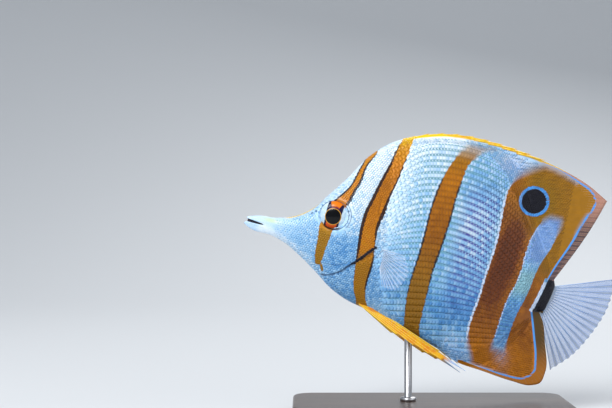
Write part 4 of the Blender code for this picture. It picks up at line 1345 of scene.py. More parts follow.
@dataclass
class Skin:
    """One skin over head, jaws, trunk, tail and the unpaired fins, with no seam."""

    flank: Flank
    markings: Markings
    body_rows: int = 46
    fin_rows: int = 26
    cleft_half_open: float = 0.68
    piece: Optional[bpy.types.Object] = field(default=None, init=False)

    def columns(self) -> np.ndarray:
        """The stations of the mesh's columns, close together where detail is finest."""
        return np.concatenate([
            np.arange(0, AT.spines_from, 0.25), np.arange(AT.spines_from, AT.soft_dorsal_from, 0.5),
            np.arange(AT.soft_dorsal_from, AT.fins_to, 0.4), np.linspace(AT.fins_to, AT.last, 5),
        ])

    def build(self, material: bpy.types.Material) -> bpy.types.Object:
        """Makes the skin's mesh, cuts its mouth and nostrils, and stores the pattern on it."""
        stations, flank = self.columns(), self.flank
        rows = self.body_rows, self.fin_rows
        tops = flank.half(stations, flank.upper_outline(stations), flank.dorsal_root(stations),
                          AT.spines_from, *rows)
        lows = flank.half(stations, flank.lower_outline(stations), flank.anal_root(stations), AT.anal_from,
                          *rows)
        flat, half, out = (np.concatenate([top[::-1], low[1:]]) for top, low in zip(tops, lows))
        x, z = flat[..., 0], flat[..., 1]
        half = half + flank.gill_rise(x, z) * (half > 1.5)
        half = half + self._orbit(x, z) * (half > 2)
        half = half + self._lips(x, z)
        half = half * np.sqrt(np.clip(1 - (1 - np.clip(stations / 1.6, 0, 1)) ** 2 * 0.85, 0, 1))
        x = x + self._blunt_tips(z) * np.clip(1 - stations / 1.2, 0, 1) ** 2
        middle = np.stack([x, flank.shift(x), z], axis=-1)
        across = half[..., None] * (0, 1, 0)
        piece = mesh_object("fish_skin", *joined_sides(middle - across, middle + across))
        ray = np.clip(np.cos(stations * math.pi), 0, 1) ** 2
        put_numbers(piece.data, "ray", np.tile((ray[None] * ease(out, 0.05, 0.2)).ravel(), 2))
        self._cut_openings(piece)
        turn_outwards(piece)
        piece.data.materials.clear()
        piece.data.materials.append(material)
        self.piece = piece
        self.store_pattern(piece.data, vertex_points(piece.data))
        return ride(piece, "scaled_skin", "head", "upper_jaw", "lower_jaw", "trunk", "tail", "dorsal_fin",
                    "anal_fin")

    def _orbit(self, x: np.ndarray, z: np.ndarray) -> np.ndarray:
        """A shallow socket with a soft fold round each eye."""
        away = np.hypot(x - self.markings.eye[0], z - self.markings.eye[1])
        return 0.28 * np.exp(-((away - 7.0) / 0.7) ** 2) - 1.3 * (1 - ease(away, 5.2, 6.4))

    @staticmethod
    def _blunt_tips(z: np.ndarray) -> np.ndarray:
        """How far the front of each jaw falls back towards its edges, which rounds its tip."""
        upper, lower = np.abs(z - 2.05) / 0.75, np.abs(z + 0.2) / 0.85
        return 0.75 * np.clip(np.minimum(upper, lower), 0, 1.1) ** 2.5

    def _lips(self, x: np.ndarray, z: np.ndarray) -> np.ndarray:
        """A soft lip along both edges of the gape."""
        away = np.abs(z - self.markings.gape(x))
        return 0.12 * np.exp(-((away - 0.95) / 0.35) ** 2) * (1 - ease(x, 7, 10)) * ease(x, 0.3, 1.5)

    def _cut_openings(self, piece: bpy.types.Object) -> None:
        """Cuts the gape of the mouth and the four nostril pits."""
        tree = BVHTree.FromObject(piece, bpy.context.evaluated_depsgraph_get())
        cutter = bmesh.new()
        corner, tip = Vector(self.markings.cleft_corner), Vector(self.markings.cleft_tip)
        long = corner - tip
        slope = Matrix.Rotation(-math.atan2(long.y, long.x), 4, "Y")
        grow = Matrix.Diagonal((long.length * 1.02, 1, self.cleft_half_open, 1))
        made = bmesh.ops.create_cone(cutter, cap_ends=True, segments=48, radius1=1, radius2=1, depth=20)
        lay = Matrix.Translation((tip.x, 0, tip.y)) @ slope @ grow @ Matrix.Rotation(math.pi / 2, 4, "X")
        bmesh.ops.transform(cutter, matrix=PLACING.matrix() @ lay, verts=made["verts"])
        for side in Side:
            for x, z in self.markings.nostrils:
                start = Vector(PLACING.to_world(np.array([[x, side.value * 40, z]]))[0])
                hit = tree.ray_cast(start, Vector((0, -side.value, 0)))[0]
                made = bmesh.ops.create_uvsphere(cutter, u_segments=16, v_segments=10, radius=0.42 * MM)
                stretch = Matrix.Translation(hit) @ Matrix.Diagonal((1, 1.8, 1, 1))
                bmesh.ops.transform(cutter, matrix=stretch, verts=made["verts"])
        data = bpy.data.meshes.new("openings")
        cutter.to_mesh(data)
        cutter.free()
        openings = linked("openings", data)
        cut = piece.modifiers.new("openings", "BOOLEAN")
        cut.object, cut.operation, cut.solver = openings, "DIFFERENCE", "EXACT"
        baked(piece)
        discard(openings)

    def store_pattern(self, mesh: bpy.types.Mesh, points: np.ndarray) -> None:
        """Stores the pattern's fields on a mesh, read at these points of the world."""
        fish = PLACING.to_fish(points)
        fish = VIEW.on_middle(fish, self.flank.shift(fish[:, 0]))
        for name, values in self.markings.fields(fish, self.flank).items():
            put_numbers(mesh, name, values)


@dataclass
class MouthLining:
    """The lining that closes the gape behind the jaw tips, near-black as painted shade inside the mouth."""

    skin: Skin
    front: float = 0.9
    half_thick: float = 0.3
    columns: int = 24
    around: int = 12

    def build(self) -> bpy.types.Object:
        """Makes a thin lens that fills the gape between the jaws."""
        marks = self.skin.markings
        tip, corner = marks.cleft_tip[0], marks.cleft_corner[0]
        x = np.linspace(self.front, corner + 0.1, self.columns)
        reach = (x - tip) / (corner - tip) / 1.02
        open_half = self.skin.cleft_half_open * np.sqrt(np.clip(1 - reach**2, 0, 1)) + 0.12
        angle = np.linspace(0, 2 * math.pi, self.around, endpoint=False)
        y = self.half_thick * np.cos(angle) * np.ones((self.columns, 1))
        z = marks.gape(x)[:, None] + open_half[:, None] * np.sin(angle)
        points = np.stack([x[:, None] + 0 * z, y, z], axis=-1).reshape(-1, 3)
        # Near-black, as painted shade inside the mouth.
        paint = Paint("mouth_lining", Gloss(0.3, coat=0.3))
        dark = paint.finish(paint.mix(paint.noise(900, 2), (0.004, 0.006, 0.02), (0.03, 0.015, 0.03)))
        return ride(closed_mesh("mouth_lining", points, ring_faces(self.columns, self.around), dark),
                    "scaled_skin")


@dataclass
class ScaleCoat:
    """Overlapping scales in rows over the skin, smallest on the face and the fins."""

    skin: Skin
    planting: Planting
    row_pitch: float = 2.5
    column_pitch: float = 1.3
    small_pitch: float = 1.05
    row_ratio: float = 0.84
    seed: int = 7

    def build(self, material: bpy.types.Material) -> list[bpy.types.Object]:
        """Plants every scale, in a few pieces for each side."""
        large, small = self._template("large_scale", 4, 5), self._template("small_scale", 3, 4)
        body, fine = self._body_roots(), self._small_roots()
        lots = [(f"{side.word}_{label}", self._on_surface(roots, side), shape, row_weight)
                for side in Side for label, roots, shape, row_weight in (
                    ("flank_scales", body, large, 1.0),
                    ("head_scales", fine[fine[:, 0] < 60], small, 0.35),
                    ("fin_scales", fine[fine[:, 0] >= 60], small, 0.3))]
        pieces = []
        for name, points, shape, row_weight in lots + [("ridge_scales", self._on_ridges(), small, 0.35)]:
            piece = self.planting.plant(name, points, shape, material)
            self._store(piece.data, row_weight)
            pieces.append(ride(piece, "scaled_skin"))
        discard(large)
        discard(small)
        return pieces

    def _on_ridges(self) -> dict[str, np.ndarray]:
        """Lays small scales over the nape and under the breast, where the sides curve round."""
        tree = BVHTree.FromObject(self.skin.piece, bpy.context.evaluated_depsgraph_get())
        flank, pitch = self.skin.flank, self.small_pitch
        rng = np.random.default_rng(self.seed)
        angles = np.radians(np.arange(-88, 89, 4))
        rows = []
        for sign, first, last in ((1, 17.0, 62.0), (-1, 15.0, 60.0)):
            for count, x in enumerate(np.arange(first, last, pitch / 2)):
                centre = (x, float(flank.shift(x)), float(by_table(flank.middle_z, x)))
                ways = np.column_stack([0 * angles, np.sin(angles), sign * np.cos(angles)])
                start = Vector(PLACING.to_world(centre))
                hits = [tree.ray_cast(start, Vector(way))[0] for way in ways @ PLACING.turn().T]
                arc = np.concatenate([[0], np.cumsum(np.linalg.norm(np.diff(hits, axis=0), axis=1))]) / MM
                arc -= arc[len(angles) // 2]
                wanted = (np.arange(-20, 21) * 2 + count % 2) * pitch * self.row_ratio
                wanted = wanted[(wanted > arc[0]) & (wanted < arc[-1])]
                spots = [np.interp(wanted, arc, column) for column in np.array(hits).T]
                for spot in np.column_stack(spots):
                    place, normal, _, _ = tree.find_nearest(Vector(spot))
                    if abs(normal.y) < 0.76:
                        size = pitch * float(by_table(((13, 0.45), (24, 0.75), (40, 1.0)), x))
                        patch = (0.056 if sign > 0 else 0.556, 1)
                        rows.append(self._row_of(place, normal, x, 0.0, 1.75 * size, 1.15 * size, patch, rng))
        return plant_table(rows)

    @staticmethod
    def _row_of(place: Vector, normal: Vector, x: float, heading: float, length: float, width: float,
                patch: tuple[float, int], rng: np.random.Generator) -> tuple:
        """What the planting needs to know of one scale.

        Args:
            place: where the scale's middle is, in the world.
            normal: which way the skin faces there.
            x: how far along the fish it is.
            heading: the angle of its free end in the fish's side view.
            length: its length in millimetres.
            width: its width in millimetres.
            patch: the middle of this side's patches on the unwrapped skin, and the fish's axis along them.
            rng: the source of its lot number.

        Returns:
            Its root, turn, size, patch and lot.
        """
        ahead = Vector(PLACING.turn() @ (math.cos(heading), 0, math.sin(heading)))
        ahead = (ahead - normal * ahead.dot(normal)).normalized()
        axes = Matrix((ahead, normal.cross(ahead), normal)).transposed()
        root = place - ahead * length * 0.5 * MM
        middle, axis = patch
        up = PLACING.to_fish(place)[axis] / BAKE_SPAN
        thick = 0.022 * length + 0.016
        return (*root, *axes.to_euler(), length * MM, width * MM, thick * MM,
                patch_along(x), middle + up, 0, rng.random())

    @staticmethod
    def _template(name: str, along: int, across: int) -> bpy.types.Object:
        """Makes one scale of unit size: a shallow shell with its free edge raised, and a skirt under it.

        Args:
            name: the shape's name.
            along: how many points it has from its root to its free end.
            across: how many it has from side to side.

        Returns:
            The shape, for the planting.
        """
        a, b = np.meshgrid(np.linspace(0, 1, along), np.linspace(-1, 1, across), indexing="ij")
        x = a * (1 - 0.30 * b**2)
        y = 0.5 * b * (0.80 + 0.20 * np.sin(math.pi * np.clip(a * 0.9, 0, 1)))
        z = -0.6 + 1.6 * a**0.7 - 0.55 * b**2
        top = np.stack([x, y, z], axis=-1).reshape(-1, 3)
        number = np.arange(along * across).reshape(along, across)
        rim = np.concatenate([number[:-1, 0], number[-1, :-1], number[:0:-1, -1], number[:1, -1]])
        under = top[rim] * (0.97, 0.97, 0) + (0, 0, -2.2)
        first = len(top)
        skirt = [(rim[k + 1], rim[k], first + k, first + k + 1) for k in range(len(rim) - 1)]
        made = mesh_object(name, np.concatenate([top, under]), grid_faces(number) + skirt, world=True)
        lobe = np.stack([a, b / 2, 0 * a], axis=-1).reshape(-1, 3)
        put_numbers(made.data, "lobe", np.concatenate([lobe, lobe[rim]]))
        return made

    def _row(self, v: np.ndarray, x: np.ndarray) -> np.ndarray:
        """The height of scale row v at x: rows arch with the back and run straight lower down."""
        slope = by_table(((-30, 0.20), (-18, 0.145), (-5, 0.0), (8, -0.08), (40, -0.07)), v)
        bend = by_table(((-30, -0.002), (-18, -0.005), (-5, -0.013), (8, -0.020), (17, -0.026), (40, -0.018)),
                        v)
        off = x - 87
        droop = 0.0019 * ease(v, 12, 30) * np.clip(73 - x, 0, 15) ** 3
        return v + slope * off + bend * off**2 / 2 - droop

    def _body_roots(self) -> np.ndarray:
        """The roots of the large scales, as x, z, heading, length and width."""
        found = []
        for k in range(-20, 26):
            v = k * self.row_pitch
            start = 50 + (k % 2) * self.column_pitch / 2
            x = np.arange(start, 121, self.column_pitch)
            z = self._row(np.full_like(x, v), x)
            heading = np.arctan2(np.gradient(z), np.gradient(x))
            gap = (self._row(np.full_like(x, v + 1), x) - z) * np.cos(heading)
            long = np.full_like(x, self.column_pitch * 1.9)
            found.append(np.column_stack([x, z, heading, long, self.row_pitch * 1.1 * gap]))
        roots = np.vstack(found)
        depth = self._body_depth(roots[:, :2])
        roots[:, 3:] *= (0.62 + 0.38 * ease(depth, 0, 5))[:, None]
        return roots[depth > 0]

    def _body_depth(self, flat: np.ndarray) -> np.ndarray:
        """How far points lie inside the part of the side that has large scales."""
        flank = self.skin.flank
        dorsal = ((40, 46.5), *flank.dorsal_base, (132.5, -3))
        anal = ((30, -14), (45, -19), (57, -22.2), (75, -27.6), *flank.anal_base)
        return np.minimum.reduce([
            side_distance(flat, flank.gill_edge) - 0.9,
            side_distance(flat, ((50, 6), (53, -2), (58, -12), (64, -26))),
            -side_distance(flat, dorsal) - 0.6,
            side_distance(flat, anal) - 0.6,
            121 - flat[:, 0],
        ])

    def _small_roots(self) -> np.ndarray:
        """The roots of the small scales of head, breast, fins and tail."""
        pitch = self.small_pitch
        found = []
        for k in range(-44, 62):
            x = np.arange(13 + (k % 2) * pitch / 2, 146, pitch)
            found.append(np.column_stack([x, np.full_like(x, k * pitch * self.row_ratio)]))
        flat = np.vstack(found)
        flank, marks = self.skin.flank, self.skin.markings
        edge = np.vstack([smooth_curve(flank.back)[0], smooth_curve(flank.dorsal_rear)[0],
                          smooth_curve((flank.tail_end_top, flank.tail_end_bottom))[0],
                          smooth_curve(flank.belly)[0][::-1]])
        inside = side_distance(flat, edge, smooth=False) < -0.7
        keep = inside & (self._body_depth(flat) < 1.6)
        eye_off = np.hypot(flat[:, 0] - marks.eye[0], flat[:, 1] - marks.eye[1])
        keep &= eye_off > 7.7
        keep &= (side_distance(flat, marks.dorsal_line) < -0.8) | (flat[:, 0] < 112) | (flat[:, 1] < 5)
        keep &= (side_distance(flat, marks.anal_line) < -0.8) | (flat[:, 0] < 100) | (flat[:, 1] > -8)
        keep &= flat[:, 0] < 131.5
        too_high = np.interp(flat[:, 0], (60, 84, 100, 130), (49.6, 54.2, 54.0, 48))
        keep &= ~((flat[:, 0] > 60) & (flat[:, 1] > too_high))
        flat = flat[keep]
        x, z = flat.T
        up = by_table(((104, 0.0), (118, 0.25), (130, 0.35)), x) * ease(z, 0, 20)
        down = by_table(((96, 0.0), (110, -0.35), (126, -0.6)), x) * ease(-z, 4, 18)
        face = by_table(((12, 0.0), (30, 0.12), (50, 0.0)), x) * np.sign(z - 6)
        heading = np.where(x < 58, face, up + down)
        small = by_table(((13, 0.45), (24, 0.75), (40, 1.0), (146, 1.0)), x)
        return np.column_stack([x, z, heading, pitch * 1.75 * small, pitch * 1.15 * small])

    def _on_surface(self, roots: np.ndarray, side: Side) -> dict[str, np.ndarray]:
        """Lays roots on one side of the skin.

        Args:
            roots: x, z, heading, length and width of each scale.
            side: the side of the fish.

        Returns:
            What the planting needs to know of each.
        """
        tree = BVHTree.FromObject(self.skin.piece, bpy.context.evaluated_depsgraph_get())
        rng = np.random.default_rng(self.seed + side.value)
        beside = np.full(len(roots), side.value * 60.0)
        starts = PLACING.to_world(np.column_stack([roots[:, 0], beside, roots[:, 1]]))
        rows = []
        for start, (x, z, heading, length, width) in zip(starts, roots):
            place, normal, _, _ = tree.ray_cast(Vector(start), Vector((0, -side.value, 0)))
            if place is None or abs(normal.y) < (0.72 if x < 58 else 0.35):
                continue
            width *= min(1 / abs(normal.y), 1.6)
            patch = (0.22 if side is Side.LEFT else 0.72, 2)
            rows.append(self._row_of(place, normal, x, heading, length, width, patch, rng))
        return plant_table(rows)

    def _store(self, mesh: bpy.types.Mesh, row_weight: float) -> None:
        """Gives each scale the pattern, read mostly at its own points and partly at its root, so that bands
        end along scale edges.
        """
        root = stored_vectors(mesh, "root")
        self.skin.store_pattern(mesh, vertex_points(mesh) * 0.78 + root * 0.22)
        fish = PLACING.to_fish(root)
        low = by_table(((-30, 0.4), (-12, 0.6), (6, 1.0)), fish[:, 2])
        put_numbers(mesh, "row_weight", row_weight * (0.55 + 0.45 * ease(fish[:, 0], 56, 70)) * low)


# ---------------------------------------------------------------- eyes


@dataclass
class Eyes:
    """The two eyes: a domed clear front over a flat iris, painted in one piece."""

    radius: float = 6.15
    depth: float = 3.0
    turn_forward: float = math.radians(9)
    rings: int = 40
    around: int = 96

    def build(self, material: bpy.types.Material) -> list[bpy.types.Object]:
        """Makes both eyes where the solids have them."""
        return [self._eye(side, material) for side in Side]

    def _eye(self, side: Side, material: bpy.types.Material) -> bpy.types.Object:
        """One eye, turned a little forward."""
        low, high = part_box(f"{side.word}_eye")
        centre = PLACING.to_fish((Vector(low) + Vector(high)) / 2)
        polar = np.arange(1, self.rings + 1)[:, None] / self.rings * math.radians(125)
        radius = np.sin(polar)
        bulge = np.cos(polar) - 0.05 * np.exp(-((radius - 0.53) / 0.05) ** 2) * (polar < 1.5)
        angle = np.arange(self.around) / self.around * 2 * math.pi
        x, z = radius * np.cos(angle) * self.radius, radius * np.sin(angle) * self.radius
        grow = np.where(polar < math.pi / 2, 1.0, 2 - radius)
        dome = np.stack([x, side.value * self.depth * bulge + 0 * x, z], axis=-1).reshape(-1, 3)
        iris = np.stack([x * grow, 0 * x, z * grow], axis=-1).reshape(-1, 3)
        spin = np.array(Euler((0, 0, side.value * self.turn_forward)).to_matrix())
        points = np.vstack([(0, side.value * self.depth, 0), dome]) @ spin.T + centre
        piece = closed_mesh(f"{side.word}_eyeball", points, self._faces(), material)
        put_numbers(piece.data, "iris", np.vstack([(0, 0, 0), iris]))
        return ride(piece, "eye", f"{side.word}_eye")

    def _faces(self) -> list:
        """The faces of a dome with a closed back."""
        n = self.around
        faces = [(0, 1 + k, 1 + (k + 1) % n) for k in range(n)]
        for ring in range(self.rings - 1):
            at, on = 1 + ring * n, 1 + (ring + 1) * n
            faces += [(at + k, on + k, on + (k + 1) % n, at + (k + 1) % n) for k in range(n)]
        faces.append(tuple(1 + (self.rings - 1) * n + k for k in range(n)))
        return faces


# ---------------------------------------------------------------- fins


@dataclass
class Fan:
    """A fin of rays that spread from a root line to a margin."""

    name: str
    root: tuple
    margin: tuple
    rays: int
    slot: str
    side: Side = Side.RIGHT
    bend: float = 1.0
    root_half: float = 1.0
    web_half: float = 0.09
    ray_radius: tuple[float, float] = (0.24, 0.09)
    branched: bool = True
    folded: bool = False

    def _tips(self, at: np.ndarray) -> np.ndarray:
        """The margin's point at shares 0 to 1 of the fan."""
        if not self.folded:
            return trace(self.margin, {0: 0.0, len(self.margin) - 1: 1.0}, at)
        given = np.array(self.margin, float)
        roots = self._roots(np.linspace(0, 1, len(given)))
        length = np.linalg.norm(given - roots, axis=1)
        line = np.repeat(given, 2, axis=0)[:-1]
        for k in range(len(given) - 1):
            shorter = min(length[k], length[k + 1])
            pair = [roots[j] + (given[j] - roots[j]) * shorter / length[j] for j in (k, k + 1)]
            line[2 * k + 1] = (pair[0] + pair[1]) / 2
        return np.column_stack([np.interp(at, np.linspace(0, 1, len(line)), column) for column in line.T])

    def _roots(self, at: np.ndarray) -> np.ndarray:
        """The root line's point at shares 0 to 1 of the fan."""
        first, second = np.array(self.root[0]), np.array(self.root[1])
        return first + (second - first) * np.asarray(at)[:, None]

    def surface(self, at: np.ndarray, reach: np.ndarray) -> np.ndarray:
        """Points of the fan, by share across it and reach from root to margin."""
        roots, tips = self._roots(at), self._tips(at)
        points = roots[None] + (tips - roots)[None] * reach[:, None, None]
        points[..., 1] = roots[None, :, 1] + (tips - roots)[None, :, 1] * reach[:, None] ** self.bend
        points[..., 1] *= self.side.value
        return points

    def build(self, web: bpy.types.Material, bone: bpy.types.Material,
              tubes: RayTubes) -> list[bpy.types.Object]:
        """Makes the fin's membrane and its rays."""
        return [self._membrane(web), self._rays(bone, tubes)]

    def _membrane(self, material: bpy.types.Material) -> bpy.types.Object:
        """The skin between the rays, thicker at its fleshy root, with a scalloped edge."""
        per_ray, rows = 6, 26
        columns = (self.rays - 1) * per_ray + 1
        at, reach = np.linspace(0, 1, columns), np.linspace(0, 1, rows)
        ray = np.clip(np.cos(np.arange(columns) / per_ray * 2 * math.pi), 0, 1)
        notch = 1 - (0.0 if self.folded else 0.018) * (1 - ray)
        middle = np.stack([self.surface(at, reach * n)[:, k] for k, n in enumerate(notch)], axis=1)
        facing = np.cross(middle[-1, columns // 2] - middle[0, columns // 2], middle[0, -1] - middle[0, 0])
        normal = np.cross(np.gradient(middle, axis=0), np.gradient(middle, axis=1))
        normal *= np.sign((normal * facing).sum(axis=2, keepdims=True))
        normal /= np.maximum(np.linalg.norm(normal, axis=2, keepdims=True), 1e-9)
        normal += facing / np.linalg.norm(facing)
        normal /= np.linalg.norm(normal, axis=2, keepdims=True)
        fleshy = np.clip(1 - reach / 0.22, 0, 1)[:, None] ** 2
        half = self.web_half * (1 - 0.5 * reach[:, None]) + (self.root_half - self.web_half) * fleshy
        offset = normal * half[..., None]
        piece = closed_mesh(self.name + "_web", *joined_sides(middle - offset, middle + offset), material)
        edges = np.maximum(ease(at, 0.86, 1.0), 1 - ease(at, 0.0, 0.16))
        for name, values in (
            ("root_share", np.repeat(np.clip(1 - reach / 0.16, 0, 1), columns)),
            ("ray", np.tile(ray**3, rows)),
            ("edge_share", np.tile(edges, rows)), ("turn_at", middle[..., 0].ravel() / 100),
        ):
            put_numbers(piece.data, name, np.tile(values, 2))
        return ride(piece, self.slot, self.name)

    def _rays(self, material: bpy.types.Material, tubes: RayTubes) -> bpy.types.Object:
        """The rays, each split in two towards the margin where the fin's rays branch."""
        lines, radii = [], []
        reach = np.linspace(0.02, 0.995, 26)
        thick, thin = self.ray_radius
        for k in range(self.rays):
            forks = (-0.22, 0.22) if self.branched and 0 < k < self.rays - 1 else (0.0,)
            for fork in forks:
                at = np.clip((k + fork * ease(reach, 0.45, 0.95)) / (self.rays - 1), 0, 1)
                spots = [self.surface(np.array([a]), np.array([r]))[0, 0] for a, r in zip(at, reach)]
                lines.append(np.array(spots))
                radii.append((thick + (thin - thick) * reach**0.7) * (0.85 if len(forks) > 1 else 1.0))
        extra = {"out_share": [reach] * len(lines), "turn_at": [line[:, 0] / 100 for line in lines]}
        return ride(tubes.tubes(self.name + "_rays", lines, radii, material, extra), self.slot)


@dataclass
class MarginRays:
    """The soft rays of the dorsal and anal fins, as fine ribs where the scales end."""

    flank: Flank
    start_out: float = 0.45
    radius: tuple[float, float] = (0.20, 0.15)

    def build(self, material: bpy.types.Material, tubes: RayTubes) -> bpy.types.Object:
        """Makes every rib, in one piece."""
        flank, lines, radii = self.flank, [], []
        reach = np.linspace(self.start_out, 0.995, 16)
        thick, thin = self.radius
        for base, outline, first in (
            (flank.dorsal_root, flank.upper_outline, AT.soft_dorsal_from),
            (flank.anal_root, flank.lower_outline, AT.anal_from + 6),
        ):
            for station in range(first, AT.fins_to - 1, 2):
                for fork in (-0.5, 0.5):
                    at = station + fork * ease(reach, 0.5, 0.9)
                    low = base(at)
                    x, z = (low + (outline(at) - low) * reach[:, None]).T
                    lines.append(np.column_stack([x, flank.shift(x), z]))
                    radii.append(thick + (thin - thick) * reach)
        extra = {"out_share": [reach] * len(lines), "turn_at": [line[:, 2] / 100 for line in lines]}
        return ride(tubes.tubes("fin_margin_ribs", lines, radii, material, extra), "copper_fin")


@dataclass
class FoldedSpines:
    """The spines of the dorsal and anal fins, folded back along the outline."""

    flank: Flank
    planting: Planting
    dorsal_spines: int = 9
    anal_spines: int = 3
    proud: float = 0.42
    sunk: float = 1.1
    radius: float = 0.55

    def build(self, material: bpy.types.Material) -> bpy.types.Object:
        """Plants a tapered spine behind each tip."""
        shape, turned, thick, rows = self._template(), PLACING.turn(), self.radius * MM, []
        for outline, first, count, sign in (
            (self.flank.upper_outline, AT.spines_from, self.dorsal_spines, 1),
            (self.flank.lower_outline, AT.anal_from, self.anal_spines, -1),
        ):
            tips = outline(first + 2.0 * np.arange(1, count + 1)) + (0, sign * self.proud)
            starts = outline(first + 2.0 * np.arange(count) - 2.0) - (0, sign * self.sunk)
            for tip, start in zip(tips, starts):
                ahead = np.array((tip[0] - start[0], 0, tip[1] - start[1]))
                length = float(np.linalg.norm(ahead))
                ahead = Vector(turned @ (ahead / length))
                axes = Matrix((ahead, Vector((0, 1, 0)), ahead.cross(Vector((0, 1, 0))))).transposed()
                root = PLACING.to_world((start[0], float(self.flank.shift(start[0])), start[1]))
                rows.append((*root, *axes.to_euler(), length * MM, thick, thick,
                             patch_along(tip[0]), 0.95 + tip[1] / 2000, 0, 0))
        piece = self.planting.plant("folded_spines", plant_table(rows), shape, material)
        discard(shape)
        return ride(piece, "yellow_fin")

    @staticmethod
    def _template() -> bpy.types.Object:
        """One spine of unit length and radius, with a closed root and a rounded tip."""
        around, profile = 10, ((0.0, 1.0), (0.3, 0.95), (0.6, 0.72), (0.85, 0.42), (0.96, 0.24), (1.0, 0.08))
        points = lathe(profile, around)
        made = closed_mesh("spine", points, ring_faces(len(profile), around), world=True)
        put_numbers(made.data, "lobe", points * (1, 0.5, 0))
        return made


# ---------------------------------------------------------------- stand and studio


@dataclass
class Stand:
    """The plain display stand: a bevelled wooden base and one steel rod in a collar."""

    size: tuple[float, float, float] = (116.0, 54.0, 6.0)
    corner: float = 9.0
    edge: float = 1.2
    collar_radius: float = 3.4
    collar_height: float = 1.6
    rod_sides: int = 40

    def build(self, wood: bpy.types.Material, steel: bpy.types.Material) -> list[bpy.types.Object]:
        """Makes the base and the rod in place of their solids."""
        return [self._base(wood), self._rod(steel)]

    def _base(self, material: bpy.types.Material) -> bpy.types.Object:
        """The base: a slab with round corners and a rolled upper edge."""
        (length, depth, height), edge, around = self.size, self.edge, 64
        rings = [(0.0, 0.35), (0.35, 0.0), (height - edge, 0.0)]
        rings += [(height - edge + edge * math.sin(t), edge * (1 - math.cos(t)))
                  for t in np.linspace(0.2, math.pi / 2, 7)]
        angle = (np.arange(around) + 0.5) / around * 2 * math.pi
        way = np.column_stack([np.cos(angle), np.sin(angle)])
        centre = np.copysign((length / 2 - self.corner, depth / 2 - self.corner), way)
        points = np.vstack([np.column_stack([centre + (self.corner - inset) * way, np.full(around, z)])
                            for z, inset in rings])
        piece = closed_mesh("stand_plinth", points * MM, ring_faces(len(rings), around), material, world=True)
        for face in piece.data.polygons:
            face.use_smooth = len(face.vertices) == 4
        return ride(piece, "dark_wood", "stand_base")

    def _rod(self, material: bpy.types.Material) -> bpy.types.Object:
        """The rod, with a turned collar at its foot."""
        low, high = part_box("stand_rod")
        middle = ((low[0] + high[0]) / 2, (low[1] + high[1]) / 2, 0)
        radius, foot, top = (high[0] - low[0]) / 2, self.size[2] * MM, high[2]
        collar, tall = self.collar_radius * MM, self.collar_height * MM
        profile = (
            (foot, collar), (foot + tall * 0.6, collar), (foot + tall * 0.8, collar * 0.95),
            (foot + tall, collar * 0.82), (foot + tall, radius * 1.15), (foot + tall * 1.05, radius),
            (top - 1.2 * MM, radius), (top - 0.4 * MM, radius * 0.85), (top, radius * 0.4),
        )
        points = lathe(profile, self.rod_sides)[:, [1, 2, 0]] + middle
        faces = ring_faces(len(profile), self.rod_sides)
        return ride(closed_mesh("stand_post", points, faces, material, world=True), "steel", "stand_rod")


@dataclass
class Studio:
    """A pale floor that rolls up behind the model, three soft lights and the camera."""

    view: PhotoView = VIEW

    def build(self) -> None:
        """Makes the floor, the lights and the camera."""
        self._floor()
        self._light("key", (-0.55, -0.75, 0.95), 0.7, 15.5)
        self._light("fill", (0.9, -0.6, 0.45), 1.0, 2.7)
        self._light("back", (0.35, 0.75, 0.85), 0.7, 7.0)
        scene, world = bpy.context.scene, bpy.data.worlds.new("studio")
        world.use_nodes = True
        glow = world.node_tree.nodes["Background"].inputs
        glow["Color"].default_value, glow["Strength"].default_value = (0.80, 0.86, 0.95, 1), 0.42
        data = bpy.data.cameras.new("camera")
        data.lens, data.sensor_width, data.clip_start = self.view.lens, 36, 0.01
        camera = linked("camera", data)
        camera.location = Vector((self.view.x, -self.view.distance, self.view.height)) * MM
        camera.rotation_euler = (math.pi / 2, 0, 0)
        scene.world, scene.camera = world, camera
        scene.view_settings.view_transform = "Standard"

    @staticmethod
    def _floor() -> None:
        """A plain pale sweep."""
        turn = [(0.6 + 1.2 * math.sin(t), 1.2 - 1.2 * math.cos(t)) for t in np.linspace(0, math.pi / 2, 24)]
        profile = [(-1.6, 0.0)] + turn + [(1.8, 2.6)]
        points, n = [(x, y, z) for x in (-3.0, 3.0) for y, z in profile], len(profile)
        floor = mesh_object("studio_floor", points, [(k, n + k, n + k + 1, k + 1) for k in range(n - 1)],
                            world=True)
        floor.data.materials.append(Paint("pale_floor", Gloss(0.75)).finish((0.62, 0.64, 0.66, 1)))

    @staticmethod
    def _light(name: str, place: tuple[float, float, float], size: float, power: float) -> None:
        """One square soft light that faces the model."""
        data = bpy.data.lights.new(name, "AREA")
        data.energy, data.size = power, size
        lamp = linked(name, data)
        lamp.location = place
        lamp.rotation_euler = (Vector((0, 0, 0.07)) - Vector(place)).to_track_quat("-Z", "Y").to_euler()


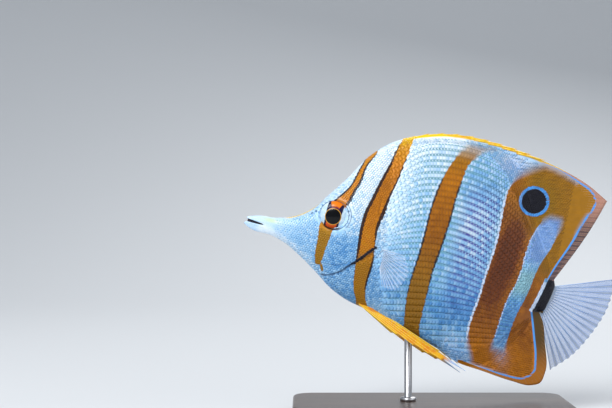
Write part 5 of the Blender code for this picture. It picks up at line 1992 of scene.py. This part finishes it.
PECTORAL = dict(
    root=((57.0, 7.0, 1.8), (58.6, 7.0, -4.4)),
    margin=((67.0, 23.0, 1.5), (69.5, 28.0, -5.5), (66.5, 27.0, -12.0), (61.0, 20.0, -13.0)),
    rays=14, slot="clear_fin", root_half=1.0,
)
CAUDAL = dict(
    root=((130.9, 2.5, 1.9), (128.9, 2.5, -8.2)),
    margin=((159.0, 7.0, 11.5), (158.3, 8.0, -2.0), (154.5, 10.0, -14.0), (148.8, 12.5, -25.0),
            (141.8, 15.0, -33.0)),
    rays=17, slot="clear_fin", bend=1.5, root_half=1.4,
)
PELVIC_ROOT = ((62.0, 2.6, -23.4), (54.0, 2.2, -22.6))
PELVIC_TIPS = {
    Side.LEFT: ((91.5, 4.9, -34.3), (103.8, 5.2, -39.9), (93.0, 5.0, -37.6), (87.0, 4.9, -36.2),
                (80.0, 4.6, -34.2), (72.0, 4.0, -31.4)),
    Side.RIGHT: ((90.5, 4.9, -35.0), (103.0, 5.2, -41.9), (91.5, 5.0, -38.6), (85.5, 4.9, -37.2),
                 (78.5, 4.6, -35.1), (70.5, 4.0, -31.9)),
}


def main() -> None:
    """Builds the whole model and its studio."""
    logging.basicConfig(level=logging.INFO, format="%(name)s: %(message)s")
    pattern = PatternNodes()
    planting, tubes = Planting(), RayTubes()
    flank = Flank()
    skin = Skin(flank, Markings())
    skin.build(skin_material(pattern))
    ScaleCoat(skin, planting).build(scale_material(pattern))
    MouthLining(skin).build()
    Eyes().build(eye_material())
    tail_web = fin_material("tail_web", (0.16, 0.34, 0.72), (0.46, 0.44, 0.24), 0.30)
    tail_ray = ray_material("tail_ray", (0.56, 0.70, 0.92), (0.12, 0.30, 0.74))
    Fan("caudal_fin", **CAUDAL).build(tail_web, tail_ray, tubes)
    # The near-white at the pectoral fins' roots is partly their pale rays and partly a painted highlight.
    clear_web = fin_material("clear_web", (0.42, 0.60, 0.88), (0.92, 0.96, 1.0), 0.10)
    clear_ray = ray_material("clear_ray", (0.86, 0.92, 1.0), (0.46, 0.64, 0.92), (0.8, 0.35))
    pelvic = pelvic_material()
    pelvic_ray = ray_material("pelvic_ray", (0.92, 0.56, 0.008), (0.50, 0.64, 0.92), (1.0, 1.0), (0.93, 0.98))
    for side in Side:
        Fan(f"{side.word}_pectoral_fin", side=side, **PECTORAL).build(clear_web, clear_ray, tubes)
        pelvic_fin = Fan(
            f"{side.word}_pelvic_fin", PELVIC_ROOT, PELVIC_TIPS[side], 6, "yellow_fin", side=side,
            root_half=0.8, web_half=0.22, ray_radius=(0.42, 0.16), branched=False, folded=True,
        )
        pelvic_fin.build(pelvic, pelvic_ray, tubes)
    rib = ray_material("rib", (0.30, 0.105, 0.006), (0.54, 0.28, 0.13), (1.0, 1.0), (-0.05, 0.05))
    MarginRays(flank).build(rib, tubes)
    FoldedSpines(flank, planting).build(spine_material())
    Stand().build(walnut_material(), steel_material())
    Studio().build()


if __name__ == "__main__":
    main()
